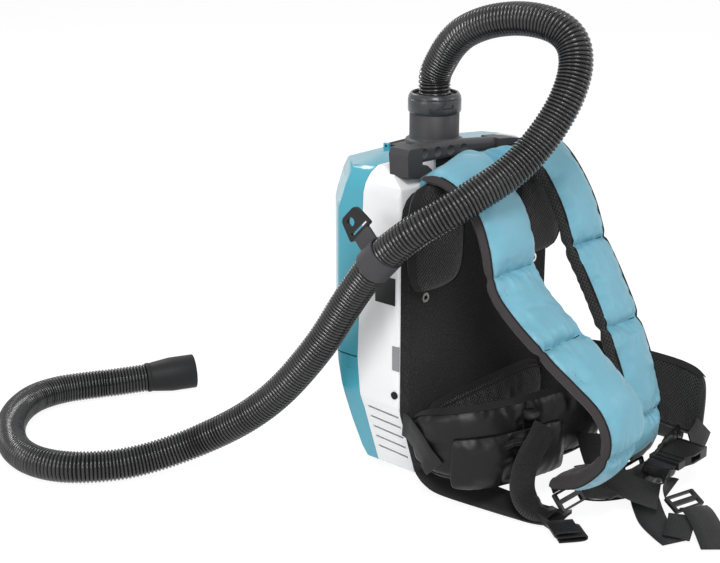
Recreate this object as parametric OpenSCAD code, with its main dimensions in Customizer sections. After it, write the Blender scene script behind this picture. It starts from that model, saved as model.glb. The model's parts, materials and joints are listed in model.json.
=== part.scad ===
// Backpack vacuum cleaner with harness, ribbed hose and waist belt.
// Millimetres. +Z is up and Z = 0 is the floor. +Y points to the rear covers,
// -Y to the wearer, and +X to the right as seen by somebody who faces +Y.

/* [Body] */
// Width of the body across its side walls
body_w = 230; // [222:1:236]
// Height of the roof above the floor
body_top = 335; // [332:1:340]
// Height of the underside above the floor
ground_gap = 12; // [10:1:14]
// Distance from the origin forward to the harness face
front_depth = 60; // [58:1:64]
// Distance from the origin back to the rear face
rear_depth = 70; // [68:1:74]
// Wall of the moulded shells
wall = 2.5; // [2:0.1:3]
// Half width of the underside, between the sloping louvred sides
base_half = 88; // [86:1:92]
// Height at which the dust cover meets the lower cover
split_z = 134; // [132:1:137]
// Width of each exhaust slot
louvre_h = 2.4; // [2:0.1:3]
// Distance from one exhaust slot to the next
louvre_pitch = 12.2; // [11:0.1:12.6]

/* [Inlet and handle] */
// Outside radius of the inlet pipe
pipe_r = 25.5; // [25:0.5:26]
// Wall of the inlet pipe
pipe_wall = 4; // [3:0.5:4.5]
// Outside radius of the lock ring
ring_r = 27.3; // [27.3:0.1:29]
// Height of the lock ring
ring_h = 20; // [19:1:24]
// Depth of the handle bar from front to back
grip_d = 16; // [14:0.5:17]
// Height of the handle bar at its thick left end
grip_h = 18; // [16:0.5:19]

/* [Covers] */
// Radius of the hinge knuckles
knuckle_r = 4; // [3.6:0.1:4.4]
// Radius of the hinge pins
pin_r = 1.5; // [1.2:0.1:1.8]
// Half width of the battery door
door_half = 62; // [58:1:64]
// Height of the battery door
door_h = 102; // [98:1:103]
// Gap between covers and casing
seam = 0.5; // [0.4:0.1:0.8]

/* [Motor and filter] */
// Outside radius of the motor housing
motor_r = 42; // [40:1:44]
// Height of the motor housing
motor_h = 62; // [60:1:64]
// Radius of the fan impeller
fan_r = 36; // [33:1:37]
// Radius of the motor shaft
shaft_r = 3; // [2.5:0.1:3.5]
// Height of the pleated filter
filter_h = 18; // [16:1:20]
// Height of the dust bag
bag_h = 86; // [80:1:86]

/* [Batteries] */
// Width of one battery
battery_w = 56; // [52:1:57]
// Depth of one battery
battery_d = 50; // [46:1:51]
// Height of one battery
battery_h = 98; // [94:1:98]

/* [Harness] */
// Thickness of the back plate
plate_t = 12; // [10:1:13]
// How far the back plate's side edges stand in from the body's sides
plate_inset = 2; // [0.5:0.5:5]
// Thickness of the shoulder pads on the plate
pad_t = 16; // [12:1:18]
// Width of a shoulder strap
strap_w = 78; // [70:1:80]
// Thickness of a shoulder strap
strap_t = 17; // [14:1:18]
// Height of a belt wing
wing_h = 78; // [70:1:80]
// Thickness of a belt wing
wing_t = 15; // [12:1:16]
// Width of the belt's webbing
webbing_w = 38; // [34:1:40]
// Width of the strap webbing
strap_webbing_w = 30; // [25:1:32]
// Thickness of the webbing
webbing_t = 1.8; // [1.4:0.1:2]

/* [Hose] */
// Outside diameter of the hose over its ribs
hose_d = 33; // [31:0.5:33]
// Bore of the hose
hose_bore = 28; // [26:0.5:28]
// Number of ribs along the hose
rib_count = 176; // [120:1:200]
// Outside diameter of the hose cuff at its mouth
cuff_d = 40; // [39:0.5:42]
// Length of the hose cuff
cuff_l = 58; // [50:1:62]

/* [Hidden] */
$fn = 64;
small = 0.3;             // gap between a soft piece and its neighbour
run = 0.05;              // radial running clearance of pins and shafts
hw = body_w / 2;
front_y = -front_depth;
side_rear = 22;          // where the side wall turns into the rear chamfer
rear_half = 66;          // where the chamfer turns into the flat rear face
taper_top = 95;          // where the louvred slope meets the upright side
// Height and depth of the rear face where its slope changes.
roof_rear = body_top - 10;
rear_line = [
    [ground_gap, rear_depth - 26], [45, rear_depth - 15], [115, rear_depth - 6],
    [190, rear_depth], [body_top - 45, rear_depth], [roof_rear, rear_depth - 14]
];
function rear_at(z) = lookup(z, rear_line);
// Height and distance from the middle axis of the chamfers between rear and sides.
corner_line = [
    [ground_gap, 64], [26, 70.7], [59, 81.3], [88, 89.2], [102, 92.4], [122, 95.5], [150, 98],
    [body_top - 61, 98], [body_top - 49, 95], [body_top - 23, 88], [roof_rear, 82.5]
];
roof_y = front_y + 26;
function roof_at(y) =
    body_top - (body_top - roof_rear) * (y - roof_y) / (rear_at(roof_rear) - roof_y);
chamfer_len = norm([hw - rear_half, rear_depth - side_rear]);
chamfer_nx = (rear_depth - side_rear) / chamfer_len;
chamfer_ny = (hw - rear_half) / chamfer_len;
floor_in = ground_gap + wall;
inner_front = front_y + wall;

// inlet stack
axis_y = front_y + 53;
deck_top = body_top - 3;
deck_t = 8;
deck_half = pipe_r + 7.5;
flange_r = pipe_r + 4.5;
flange_h = 11;
pipe_top = body_top + 43;
pipe_bore = pipe_r - pipe_wall;
spigot_r = 20;
ring_z = body_top + 35;
ring_top = ring_z + ring_h;
sleeve_r = pipe_bore - 0.4;
sleeve_top = ring_top - 3;
hose_seat = ring_z + 2;  // the shoulder that the hose's end stands on

// motor and filter stack
shelf_t = 3;
mount_t = 4;
motor_y = -8;
motor_z = split_z + shelf_t + mount_t;
chamber_z = motor_z + motor_h + mount_t;
seal_t = 2;
filter_z = chamber_z + shelf_t + seal_t;
bag_z = filter_z + filter_h + 1;
frame_half = hw - 5;
frame_rear = 38;
tube_r = motor_r - 11.5;
stator_r = tube_r - 2.5;
stator_h = 24;
bearing_r = 8;
bearing_h = 5;
end_plate_z = motor_z + 30;
fan_z = end_plate_z + 8;

// batteries
cradle_y = -20;
cheek_t = 2.5;
battery_gap = 0.5;
battery_y = cradle_y + shelf_t + battery_gap;
ledge_z = floor_in + 5;
battery_z = ledge_z + shelf_t + small;
rib_half = 1.5;
terminal_h = 30;
terminal_z = battery_z + 60;

// covers
hinge_z = split_z + knuckle_r + 0.5;
hinge_y = rear_at(hinge_z) + 1.5;
hinge_x = 32;
knuckle_l = 12;
cover_z = split_z + 1;
door_z = 24;
door_hinge_z = door_z + 2.5;
door_hinge_y = rear_at(door_hinge_z) + 1.5;
latch_half = 16;
latch_y = axis_y + deck_half + 4;
latch_z = roof_at(latch_y + 11.5) + 3;

// tabs in the casing's sides, beside the covers' seam
tab_t = 1.2;
tab_d = 9;
tab_low = split_z - 2;
tab_high = split_z + 24;
tab_gap = 0.2;

// harness
plate_y = front_y - plate_t;
plate_half = hw - plate_inset;
eyelet_x = plate_half - 23;
eyelet_z = body_top - 128;
pad_x = plate_half - 31;
pads_half = plate_half - 15;
pad_y = plate_y - pad_t / 2 - small;
screw_r = 2;

// ---------------------------------------------------------------- routes
// Centre line of the hose, from the lock ring to the cuff.
hose_route = [
    [0, axis_y, hose_seat + small], [0, axis_y, hose_seat + 17], [0, axis_y, hose_seat + 34],
    [-2, -16, 422], [-6, -33, 442], [-9, -55, 458], [-9, -86, 470], [-6, -121, 475],
    [-3, -153, 471], [-3, -173, 458], [-9, -182, 437], [-22, -183, 411], [-39, -177, 384],
    [-59, -168, 360], [-81, -158, 342], [-104, -146, 328], [-126, -131, 313],
    [-145, -110, 296], [-153, -90, 279], [-156, -70, 260], [-157, -50, 236],
    [-158, -30, 208], [-163, 2, 158], [-174, 44, 104], [-188, 84, 66], [-212, 124, 38],
    [-246, 152, 23], [-282, 174, 17.5], [-314, 198, 17.5], [-332, 226, 17.5],
    [-337, 260, 17.5], [-327, 298, 17.5], [-302, 338, 17.5], [-268, 370, 17.5],
    [-232, 387, 17.5], [-196, 385, 17.5], [-158, 367, 17.5], [-142, 357, 17.8],
    [-109, 338, 19]
];
band_index = 19;         // the route's point that the hose band is on
// Shoulder straps: middle line and width.
strap_left_line = [
    [-62, -71, 325.3, strap_w], [-62, -75, 333, strap_w], [-62, -86, 335, strap_w],
    [-62, -101, 331, strap_w], [-62, -121, 318, strap_w], [-62, -139, 297, strap_w],
    [-62, -150, 270, strap_w], [-62, -158, 236, strap_w], [-62, -180, 211, strap_w],
    [-62, -223, 180, strap_w], [-60, -249, 161, strap_w - 4], [-56, -272, 140, strap_w - 10],
    [-53, -281, 117, strap_w - 16], [-51, -278, 95, strap_w - 20], [-50, -267, 76, strap_w - 22],
    [-50, -245, 56, strap_w - 24], [-50, -214, 44, strap_w - 26]
];
strap_right_line = [
    [66, -71, 325.3, strap_w - 8], [66, -75, 333, strap_w - 8], [66, -86, 335, strap_w - 8],
    [66, -101, 328, strap_w - 8], [66, -119, 309, strap_w - 8], [65, -138, 281, strap_w - 8],
    [64, -154, 245, strap_w - 8], [63, -175, 212, strap_w - 8], [62, -198, 172, strap_w - 8],
    [61, -217, 132, strap_w - 8], [60, -229, 100, strap_w - 10], [60, -233, 79, strap_w - 12],
    [60, -231, 52, strap_w - 16], [57.6, -224, 31.8, strap_w - 20]
];
// Belt wings: plan of the middle line.
wing_left_line = [
    [-105, -73.4], [-112, -92], [-116, -114], [-108, -134], [-84, -151], [-46, -164], [-4, -174],
    [26, -180], [56, -186]
];
wing_right_line = [
    [105, -73.4], [115, -92], [127, -118], [138, -150], [143, -190], [141, -230], [132, -264]
];
wing_mid_z = 76;

// ------------------------------------------------------------- functions
function unit(v) = v / norm(v);
function mix(a, b, t) = a + (b - a) * t;
function pick(p, i) = p[max(0, min(len(p) - 1, i))];
function curve_at(p, i, t) =
    let (a = pick(p, i - 1), b = pick(p, i), c = pick(p, i + 1), d = pick(p, i + 2))
    0.5 * (2 * b + (c - a) * t + (2 * a - 5 * b + 4 * c - d) * t * t
    + (3 * b - a - 3 * c + d) * t * t * t);
function curve(p, steps) = concat(
    [for (i = [0 : len(p) - 2]) for (k = [0 : steps - 1]) curve_at(p, i, k / steps)],
    [p[len(p) - 1]]);
function tangent(p, i) = unit(pick(p, i + 1) - pick(p, i - 1));

// Corners [x, y, radius] of an outline, with each corner turned into an arc.
function fillet(a, b, c, r, n) = r <= 0 ? [b] :
    let (u = unit(a - b), v = unit(c - b), half = acos(u * v) / 2, turn = 180 - 2 * half,
         mid = b + unit(u + v) * r / sin(half),
         s = b + u * r / tan(half) - mid, e = b + v * r / tan(half) - mid)
    [for (i = [0 : n]) mid + (s * sin(turn * (1 - i / n)) + e * sin(turn * i / n)) / sin(turn)];
function flat(c) = [c[0], c[1]];
function rounded(c, n = 4) = [
    for (i = [0 : len(c) - 1])
        let (m = len(c))
        each fillet(flat(c[(i + m - 1) % m]), flat(c[i]), flat(c[(i + 1) % m]), c[i][2], n)
];

// Section of a padded band: half width 1 and half thickness 1, counter-clockwise.
pad_section = [
    [1, -0.25], [1, 0.25], [0.82, 0.75], [0.4, 1], [-0.4, 1], [-0.82, 0.75],
    [-1, 0.25], [-1, -0.25], [-0.82, -0.75], [-0.4, -1], [0.4, -1], [0.82, -0.75]
];
webbing_section = [[1, -1], [1, 1], [-1, 1], [-1, -1]];

// One ring of a band: middle, travel, width direction, width, thickness.
function ring(mid, along, across, w, t, section) =
    let (side = unit(across - along * (across * along)), up = cross(along, side))
    [for (s = section) mid + side * s[0] * w / 2 + up * s[1] * t / 2];

// How full a cushion is at u = 0 to 1: drawn in at both ends and at each sewn seam.
function fullness(u, seams, reach = 0.02, depth = 0.4) =
    min([for (s = seams) 1 - depth * exp(-pow((u - s) / reach, 2))])
    * (0.35 + 0.65 * pow(max(0, 1 - pow(abs(2 * u - 1), 8)), 0.5));
function narrowing(u, sharp = 6, least = 0.7) =
    least + (1 - least) * pow(max(0, 1 - pow(abs(2 * u - 1), sharp)), 0.5);

// Closed skin over rings that run counter-clockwise about the way they travel.
module skin(rings) {
    n = len(rings[0]);
    last = n * (len(rings) - 1);
    polyhedron(
        [for (r = rings) each r],
        concat(
            [for (k = [1 : n - 2]) [0, k, k + 1]],
            [for (r = [0 : len(rings) - 2]) for (k = [0 : n - 1])
                let (a = r * n + k, b = r * n + (k + 1) % n)
                each [[a, a + n, b], [b, a + n, b + n]]],
            [for (k = [1 : n - 2]) [last, last + k + 1, last + k]]
        ));
}

// Skin over rings whose last one joins the first, as round a tube's wall.
module skin_loop(rings) {
    n = len(rings[0]);
    m = len(rings);
    polyhedron(
        [for (r = rings) each r],
        [for (r = [0 : m - 1]) for (k = [0 : n - 1])
            let (a = r * n + k, b = r * n + (k + 1) % n, s = ((r + 1) % m) * n,
                 c = s + k, d = s + (k + 1) % n)
            each [[a, c, b], [b, c, d]]]);
}

// Padded band along a path, with sewn seams at the given shares of its length. The width
// is one number, or one for each point of the path.
module padded_band(path, across, w, t, seams, least = 0.7) {
    last = len(path) - 1;
    skin([for (i = [0 : last])
        let (u = i / last, wide = is_list(w) ? w[i] : w)
        ring(path[i], tangent(path, i), across, wide * narrowing(u, 6, least),
             t * fullness(u, seams), pad_section)]);
}

module webbing(path, across, w) {
    skin([for (i = [0 : len(path) - 1])
        ring(path[i], tangent(path, i), is_list(across[0]) ? across[i] : across, w,
             webbing_t, webbing_section)]);
}
// One direction for each point of a path, turning from a to b, slowly at first.
function turning(path, a, b) = [for (i = [0 : len(path) - 1])
    a + (b - a) * pow(i / (len(path) - 1), 2)];

module box(low, high) {
    translate(low) cube(high - low);
}

module both_sides() {
    children();
    mirror([1, 0, 0]) children();
}

// A cylinder from one height to another.
module post(r, z0, z1) {
    translate([0, 0, z0]) cylinder(r = r, h = z1 - z0);
}

module tube(r_out, r_in, z0, z1) {
    difference() {
        post(r_out, z0, z1);
        post(r_in, z0 - 1, z1 + 1);
    }
}

// -------------------------------------------------------- the body's shape
function plan_outline(i) =
    let (cy = side_rear - i * (1 - chamfer_nx) / chamfer_ny,
         cx = rear_half - i * (1 - chamfer_ny) / chamfer_nx, x = hw - i)
    [[-x, front_y + i, 4], [x, front_y + i, 4], [x, cy, 12], [cx, rear_depth - i, 16],
     [-cx, rear_depth - i, 16], [-x, cy, 12]];
function front_outline(i) =
    let (x = hw - i, b = base_half - 0.7 * i)
    [[-b, ground_gap + i, 6], [b, ground_gap + i, 6], [x, taper_top, 24],
     [x, body_top - i, 27], [-x, body_top - i, 27], [-x, taper_top, 24]];
function side_outline(i) =
    [[front_y + i, ground_gap + i, 4], [rear_line[0][1] - i, ground_gap + i, 6],
     for (k = [1 : len(rear_line) - 2]) [rear_line[k][1] - i, rear_line[k][0], 16],
     [rear_at(roof_rear) - i, roof_rear - i, 8], [roof_y, body_top - i, 8],
     [front_y + i, body_top - 17 - 0.6 * i, 5]];

// An outline in Y and Z, drawn out along X to both sides.
module along_x(outline, half) {
    translate([-half, 0, 0]) rotate([90, 0, 90]) linear_extrude(2 * half) polygon(outline);
}

// One side's chamfer, drawn out along its own direction.
module corner_block(i) {
    rotate([0, 0, atan2(chamfer_ny, chamfer_nx)]) rotate([90, 0, 0])
        linear_extrude(400, center = true)
            polygon(concat([[-200, 0], [corner_line[0][1] - i - 5, 0]],
                           [for (p = corner_line) [p[1] - i, p[0]]],
                           [[70, body_top + 9], [-200, body_top + 9]]));
}

module body_shape(i) {
    intersection() {
        corner_block(i);
        mirror([1, 0, 0]) corner_block(i);
        translate([0, 0, ground_gap - 1])
            linear_extrude(body_top - ground_gap + 2) polygon(rounded(plan_outline(i)));
        translate([0, rear_depth + 1, 0]) rotate([90, 0, 0])
            linear_extrude(rear_depth + front_depth + 2) polygon(rounded(front_outline(i)));
        along_x(rounded(side_outline(i)), hw + 1);
    }
}

// Hand room under the handle, let into the roof's front edge, and shallower behind the
// bar's finger grooves.
scoop_low = body_top - 32;
module hand_scoop(grow) {
    box([-76 - grow, front_y - 5, scoop_low - grow],
        [46 + grow, front_y + 23 + grow, body_top + 5]);
    box([-76 - grow, front_y - 5, body_top - 17 - grow],
        [grow - deck_half - 4, front_y + 38 + grow, body_top + 5]);
}

module shell() {
    difference() {
        body_shape(0);
        difference() {
            body_shape(wall);
            hand_scoop(wall);
        }
        hand_scoop(0);
    }
}

// The line in Y and Z where the front casing meets the rear covers.
meeting_line = [
    [-11, ground_gap - 2], [-10, 79], [-5, split_z], [-12, body_top - 51],
    [-13, body_top - 26], [-15, body_top - 12], [-18, body_top + 2]
];
module front_zone() {
    along_x(concat(meeting_line, [[front_y - 2, body_top + 2], [front_y - 2, ground_gap - 2]]),
            hw + 2);
}
module rear_zone(z0, z1) {
    moved = [for (p = meeting_line) p + [seam, 0]];
    intersection() {
        along_x(concat(moved, [[rear_depth + 2, body_top + 2], [rear_depth + 2, ground_gap - 2]]),
                hw + 2);
        box([-hw - 2, -front_depth, z0], [hw + 2, rear_depth + 2, z1]);
    }
}

module deck_outline(grow) {
    translate([0, axis_y]) circle(deck_half + grow);
    translate([-deck_half - grow, front_y + 14 - grow])
        square([2 * (deck_half + grow), front_depth + axis_y - 14 + grow]);
}
module deck_notch() {
    translate([0, 0, deck_top - deck_t - 3]) linear_extrude(20) deck_outline(seam);
}

// ------------------------------------------------------------ outer shells
module plate_screw_places() {
    for (x = [-80, 80], z = [60, body_top - 72])
        translate([x, 0, z]) rotate([90, 0, 0]) children();
}

module main_casing() {
    color("white") difference() {
        union() {
            intersection() {
                shell();
                front_zone();
            }
            for (x = [-38, 38], z = [38, 112])
                translate([x, inner_front - 1, z]) rotate([-90, 0, 0]) cylinder(r = 3, h = 5.5);
        }
        deck_notch();
        both_sides() for (k = [0 : 4])
            translate([0, front_y + 44, 33 + k * louvre_pitch]) rotate([4, 0, 0])
                box([base_half - 6, -40, 0], [hw + 2, 0, louvre_h]);
        both_sides() translate([hw - 8, front_y + 5, 106]) rotate([0, 90, 0])
            cylinder(r = screw_r + run, h = 10);
        plate_screw_places() cylinder(r = screw_r + run, h = front_depth + 5);
        both_sides() box([hw - tab_t, front_y - 1, tab_low], [hw + 1, front_y + tab_d, tab_high]);
    }
}

module knuckle(y, z, x0, x1) {
    translate([x0, y, z]) rotate([0, 90, 0]) cylinder(r = knuckle_r, h = x1 - x0);
}
module knuckle_bore(y, z) {
    translate([-hw, y, z]) rotate([0, 90, 0]) cylinder(r = pin_r + run, h = 2 * hw);
}

// The fixed knuckle in the middle of each hinge, on a foot that reaches down or inward.
module fixed_knuckles(y, z, foot_low, foot_high) {
    difference() {
        for (x = [-hinge_x, hinge_x]) {
            knuckle(y, z, x - knuckle_l / 2, x + knuckle_l / 2);
            box([x - knuckle_l / 2, foot_low[0], foot_low[1]],
                [x + knuckle_l / 2, foot_high[0], foot_high[1]]);
        }
        knuckle_bore(y, z);
    }
}
module moving_knuckles(y, z) {
    for (x = [-hinge_x, hinge_x], s = [-1, 1])
        knuckle(y, z, x + s * (knuckle_l + small) - knuckle_l / 2,
                x + s * (knuckle_l + small) + knuckle_l / 2);
}
module knuckle_room(y, z, r) {
    for (x = [-hinge_x, hinge_x])
        box([x - knuckle_l / 2 - small, y - r - 2, z - r],
            [x + knuckle_l / 2 + small, y + r, z + r]);
}

door_top = door_z + door_h;
module lower_cover() {
    color("#4aa3b0") {
        difference() {
            intersection() {
                shell();
                rear_zone(ground_gap - 1, split_z - seam);
            }
            box([-door_half - seam, side_rear + 6, door_z - seam],
                [door_half + seam, rear_depth + 5, door_top + seam]);
            box([-door_half - seam, side_rear + 10, door_z - 5],
                [door_half + seam, rear_depth + 5, door_z]);
            both_sides() box([hw - 1, 0, split_z - 14], [hw + 2, 11, split_z - 2]);
        }
        fixed_knuckles(hinge_y, hinge_z, [hinge_y - wall - 1.5, split_z - seam - 6],
                       [hinge_y + knuckle_r - 1, hinge_z]);
        fixed_knuckles(door_hinge_y, door_hinge_z, [door_hinge_y - 8, ground_gap + wall - 1],
                       [door_hinge_y, door_hinge_z]);
    }
}

door_face = rear_at(door_top - 6) + 0.3;
latch_travel = 4;
module battery_door() {
    color("#4aa3b0") difference() {
        union() {
            intersection() {
                shell();
                box([-door_half, side_rear + 6, door_z], [door_half, rear_depth + 5, door_top]);
            }
            moving_knuckles(door_hinge_y, door_hinge_z);
        }
        knuckle_room(door_hinge_y, door_hinge_z, knuckle_r + 0.6);
        knuckle_bore(door_hinge_y, door_hinge_z);
        box([-5, door_face - wall - 3, door_top - 13.3 - latch_travel],
            [5, door_face + 1, door_top - 10.2]);
    }
}

module battery_door_latch() {
    color("dimgray") {
        box([-12, door_face, door_top - 17], [12, door_face + 3, door_top - 7]);
        box([-4.5, door_face - wall - 2.5, door_top - 13], [4.5, door_face + 1, door_top - 10.5]);
        box([-8, door_face - wall - 4.5, door_top - 13], [8, door_face - wall - 1.9, door_top - 0.2]);
    }
}

module dust_cover() {
    color("#58b4c1") difference() {
        union() {
            intersection() {
                shell();
                rear_zone(cover_z, body_top + 1);
            }
            moving_knuckles(hinge_y, hinge_z);
            for (x = [-latch_half - 3.3, latch_half + 0.3])
                box([x, latch_y + 8, roof_rear - 1], [x + 3, latch_y + 15, latch_z + 2.6]);
        }
        deck_notch();
        knuckle_room(hinge_y, hinge_z, knuckle_r + 0.8);
        knuckle_bore(hinge_y, hinge_z);
        translate([-hw, latch_y + 11.5, latch_z]) rotate([0, 90, 0])
            cylinder(r = pin_r + run, h = 2 * hw);
    }
}

module dust_cover_latch() {
    color("dimgray") {
        translate([-latch_half, latch_y + 11.5, latch_z]) rotate([0, 90, 0])
            cylinder(r = 2.6, h = 2 * latch_half);
        translate([-latch_half - 3.2, latch_y + 11.5, latch_z]) rotate([0, 90, 0])
            cylinder(r = pin_r, h = 2 * latch_half + 6.4);
        box([-latch_half, latch_y - 3, latch_z - 1.1], [latch_half, latch_y + 11.5, latch_z + 1.6]);
        box([-6, latch_y - 6.5, latch_z - 1.1], [6, latch_y - 2, latch_z + 1.6]);
        box([-6, latch_y - 6.5, latch_z - 2.6], [6, latch_y - 5, latch_z]);
    }
}

module hinge_pins() {
    color("silver") for (p = [[hinge_y, hinge_z], [door_hinge_y, door_hinge_z]], x = [-hinge_x, hinge_x])
        translate([x - 1.5 * knuckle_l - small, p[0], p[1]]) rotate([0, 90, 0])
            cylinder(r = pin_r, h = 3 * knuckle_l + 2 * small);
}

// --------------------------------------------------------- inlet and handle
module inlet_deck() {
    color("dimgray") difference() {
        union() {
            translate([0, 0, deck_top - deck_t]) linear_extrude(deck_t) deck_outline(0);
            box([6 - deck_half, front_y + 23 + wall, body_top - 52],
                [deck_half - 6, front_y + 28.5, deck_top - deck_t + 1]);
        }
        hand_scoop(0);
        translate([0, axis_y, 0]) post(spigot_r + run, body_top - 60, body_top + 1);
        box([-latch_half - 1, latch_y - 8, latch_z - 3.4], [latch_half + 1, latch_y, body_top]);
    }
}

module inlet_pipe() {
    color("#3f4245") translate([0, axis_y, 0]) difference() {
        union() {
            post(flange_r, deck_top, deck_top + flange_h);
            post(pipe_r, deck_top, pipe_top);
            post(spigot_r, deck_top - deck_t - 10, deck_top + 1);
        }
        post(spigot_r - 2.5, deck_top - deck_t - 11, pipe_top + 1);
        post(pipe_bore, deck_top + 6, pipe_top + 1);
    }
}

collar_z = deck_top - deck_t - 6;
module seals() {
    color("#202020") {
        translate([0, axis_y, 0]) tube(spigot_r + 4, spigot_r + 0.1, collar_z + 2.2, deck_top - deck_t);
        difference() {
            box([-60, front_y + 18, chamber_z + shelf_t], [60, frame_rear - 10, filter_z]);
            box([-54, front_y + 24, chamber_z + shelf_t - 1], [54, frame_rear - 16, filter_z + 1]);
        }
    }
}

module bag_collar() {
    color("tan") difference() {
        box([2 - deck_half, front_y + 30, collar_z], [deck_half - 2, axis_y + 32, collar_z + 2]);
        translate([0, axis_y, 0]) post(spigot_r + 0.4, collar_z - 1, collar_z + 3);
    }
}

module dust_bag() {
    mid_y = axis_y + 19;
    levels = 10;
    color("ivory") difference() {
        skin([for (k = [0 : levels])
            let (v = k / levels, swell = 0.55 + 0.45 * pow(max(0, 1 - pow(abs(2 * v - 1), 3)), 0.5))
            [for (a = [0 : 15 : 345])
                let (c = cos(a), s = sin(a))
                [92 * swell * sign(c) * pow(abs(c), 0.5),
                 mid_y + 42 * swell * sign(s) * pow(abs(s), 0.5), bag_z + bag_h * v]]]);
        translate([0, axis_y, 0]) post(spigot_r + 1, bag_z + bag_h - 14, bag_z + bag_h + 1);
    }
}

module hose_lock_ring() {
    color("#34373a") translate([0, axis_y, 0]) difference() {
        union() {
            post(ring_r - 0.5, ring_z, ring_top - 3);
            post(ring_r, ring_z + 1.5, ring_top - 4);
            translate([0, 0, ring_top - 4]) cylinder(r1 = ring_r, r2 = ring_r - 3, h = 4);
        }
        post(pipe_r + run, ring_z - 1, pipe_top + small);
        post(pipe_bore + 1.2, ring_z, ring_top + 1);
        rotate([0, 0, -60]) box([ring_r - 1, -6, ring_top - 11], [ring_r + 2, 6, ring_top - 9]);
    }
}

module hose_sleeve() {
    color("#55595d") translate([0, axis_y, 0]) difference() {
        union() {
            post(sleeve_r, ring_z - 14, sleeve_top);
            post(pipe_bore + 0.8, pipe_top + 1, sleeve_top);
        }
        post(hose_bore / 2, ring_z - 15, sleeve_top + 1);
        post(hose_d / 2 + small, hose_seat, sleeve_top + 1);
    }
}

grip_y = front_y + 10;
grip_left = -84;
grip_right = 38;
grip_high = body_top + 20.5;
grip_low = grip_high - grip_h;
// Lowest and highest edge of the bar at its ends and where it starts to slope: it grows
// slimmer to the right.
grip_slices = [
    [grip_left, grip_low, grip_high], [grip_left + 40, grip_low - 1.5, grip_high - 2],
    [grip_right, grip_low - 6.5, grip_high - 12]
];
module bar_slice(slice) {
    d = grip_d / 2;
    h = (slice[2] - slice[1]) / 2;
    translate([slice[0] - small, grip_y, slice[1] + h]) rotate([90, 0, 90])
        linear_extrude(2 * small)
            polygon(rounded([[-d, -h, 5], [d, -h, 5], [d, h, 6], [-d, h, 6]], 5));
}
// Something seen from the front, as deep as the handle.
module front_drawn(outline, d) {
    translate([0, grip_y + d / 2, 0]) rotate([90, 0, 0]) linear_extrude(d) polygon(outline);
}
module handle_grip() {
    color("#3a3c3e") intersection() {
        difference() {
            for (i = [0 : 1]) hull() {
                bar_slice(grip_slices[i]);
                bar_slice(grip_slices[i + 1]);
            }
            for (k = [0 : 3])
                translate([grip_left + 7 + k * 20.5, grip_y - grip_d / 2 - 4.5,
                           grip_low + 9.5 - k * 1.7]) sphere(r = 7, $fn = 24);
        }
        box([grip_left, grip_y - grip_d, 0], [grip_right, grip_y + grip_d, 500]);
    }
}

// The arms from the bar's ends to the casing's shoulders.
module handle_brackets() {
    color("#3a3c3e") difference() {
        union() {
            front_drawn([[grip_left, grip_high], [-104, grip_high], [-107, grip_high - 6],
                         [-105, body_top - 7], [-88, body_top - 10], [-68, body_top - 6],
                         [-76, grip_low - 2], [grip_left, grip_low]], 24);
            front_drawn([[grip_right, grip_high - 12], [grip_right, grip_low - 6.5],
                         [66, body_top - 11], [84, body_top - 16], [97, body_top - 13],
                         [92, body_top - 4], [74, body_top + 3], [56, grip_high - 14]], 24);
        }
        body_shape(0);
    }
}

// -------------------------------------------------------------- hose set
hose_sides = 8;
hose_line = curve(hose_route, 4);
hose_last = len(hose_line) - 1;
// Distance along the hose at each point of its line.
hose_run = [for (i = 0, d = 0; i <= hose_last; i = i + 1,
                 d = d + norm(pick(hose_line, i) - pick(hose_line, i - 1))) d];
hose_index = [for (i = [0 : hose_last]) [hose_run[i] / hose_run[hose_last], i]];
// A sideways direction carried along the line without twist.
hose_across = [for (i = 0, s = [1, 0, 0]; i <= hose_last; i = i + 1,
                    s = unit(s - tangent(hose_line, i) * (s * tangent(hose_line, i)))) s];
function along(list, u) = let (f = lookup(u, hose_index), i = min(floor(f), hose_last - 1))
    mix(list[i], list[i + 1], f - i);
// Square ends: the first and last rings follow the straight end stretches.
function hose_way(u) = unit(along(hose_line, min(1, u + 0.004)) - along(hose_line, max(0, u - 0.004)));
function hose_ring(u, r) =
    let (mid = along(hose_line, u), way = hose_way(u), s = along(hose_across, u),
         side = unit(s - way * (s * way)), up = cross(way, side))
    [for (k = [0 : hose_sides - 1])
        let (a = 360 * (k + 0.5) / hose_sides)
        mid + side * r * cos(a) + up * r * sin(a)];
hose_core_r = hose_d / 2 - 1.6;
bore_steps = 72;
module hose() {
    color("#1c1c1e") skin_loop(concat(
        [for (k = [0 : 2 * rib_count])
            hose_ring(k / (2 * rib_count), k % 2 == 0 ? hose_core_r : hose_d / 2)],
        [for (k = [bore_steps : -1 : 0]) hose_ring(k / bore_steps, hose_bore / 2)]));
}

hose_end = hose_route[len(hose_route) - 1];
hose_end_way = unit(hose_end - hose_route[len(hose_route) - 2]);
module facing(way) {
    rotate([0, acos(way[2]), atan2(way[1], way[0])]) children();
}
module hose_cuff() {
    color("#252628") translate(hose_end + hose_end_way * small) facing(hose_end_way) difference() {
        union() {
            post(hose_d / 2, 0, cuff_l - 28);
            translate([0, 0, 6]) cylinder(r1 = hose_d / 2, r2 = cuff_d / 2, h = cuff_l - 34);
            post(cuff_d / 2, cuff_l - 28, cuff_l);
        }
        post(hose_bore / 2, -1, cuff_l);
        post(cuff_d / 2 - 2, cuff_l - 26, cuff_l + 1);
    }
}

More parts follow.
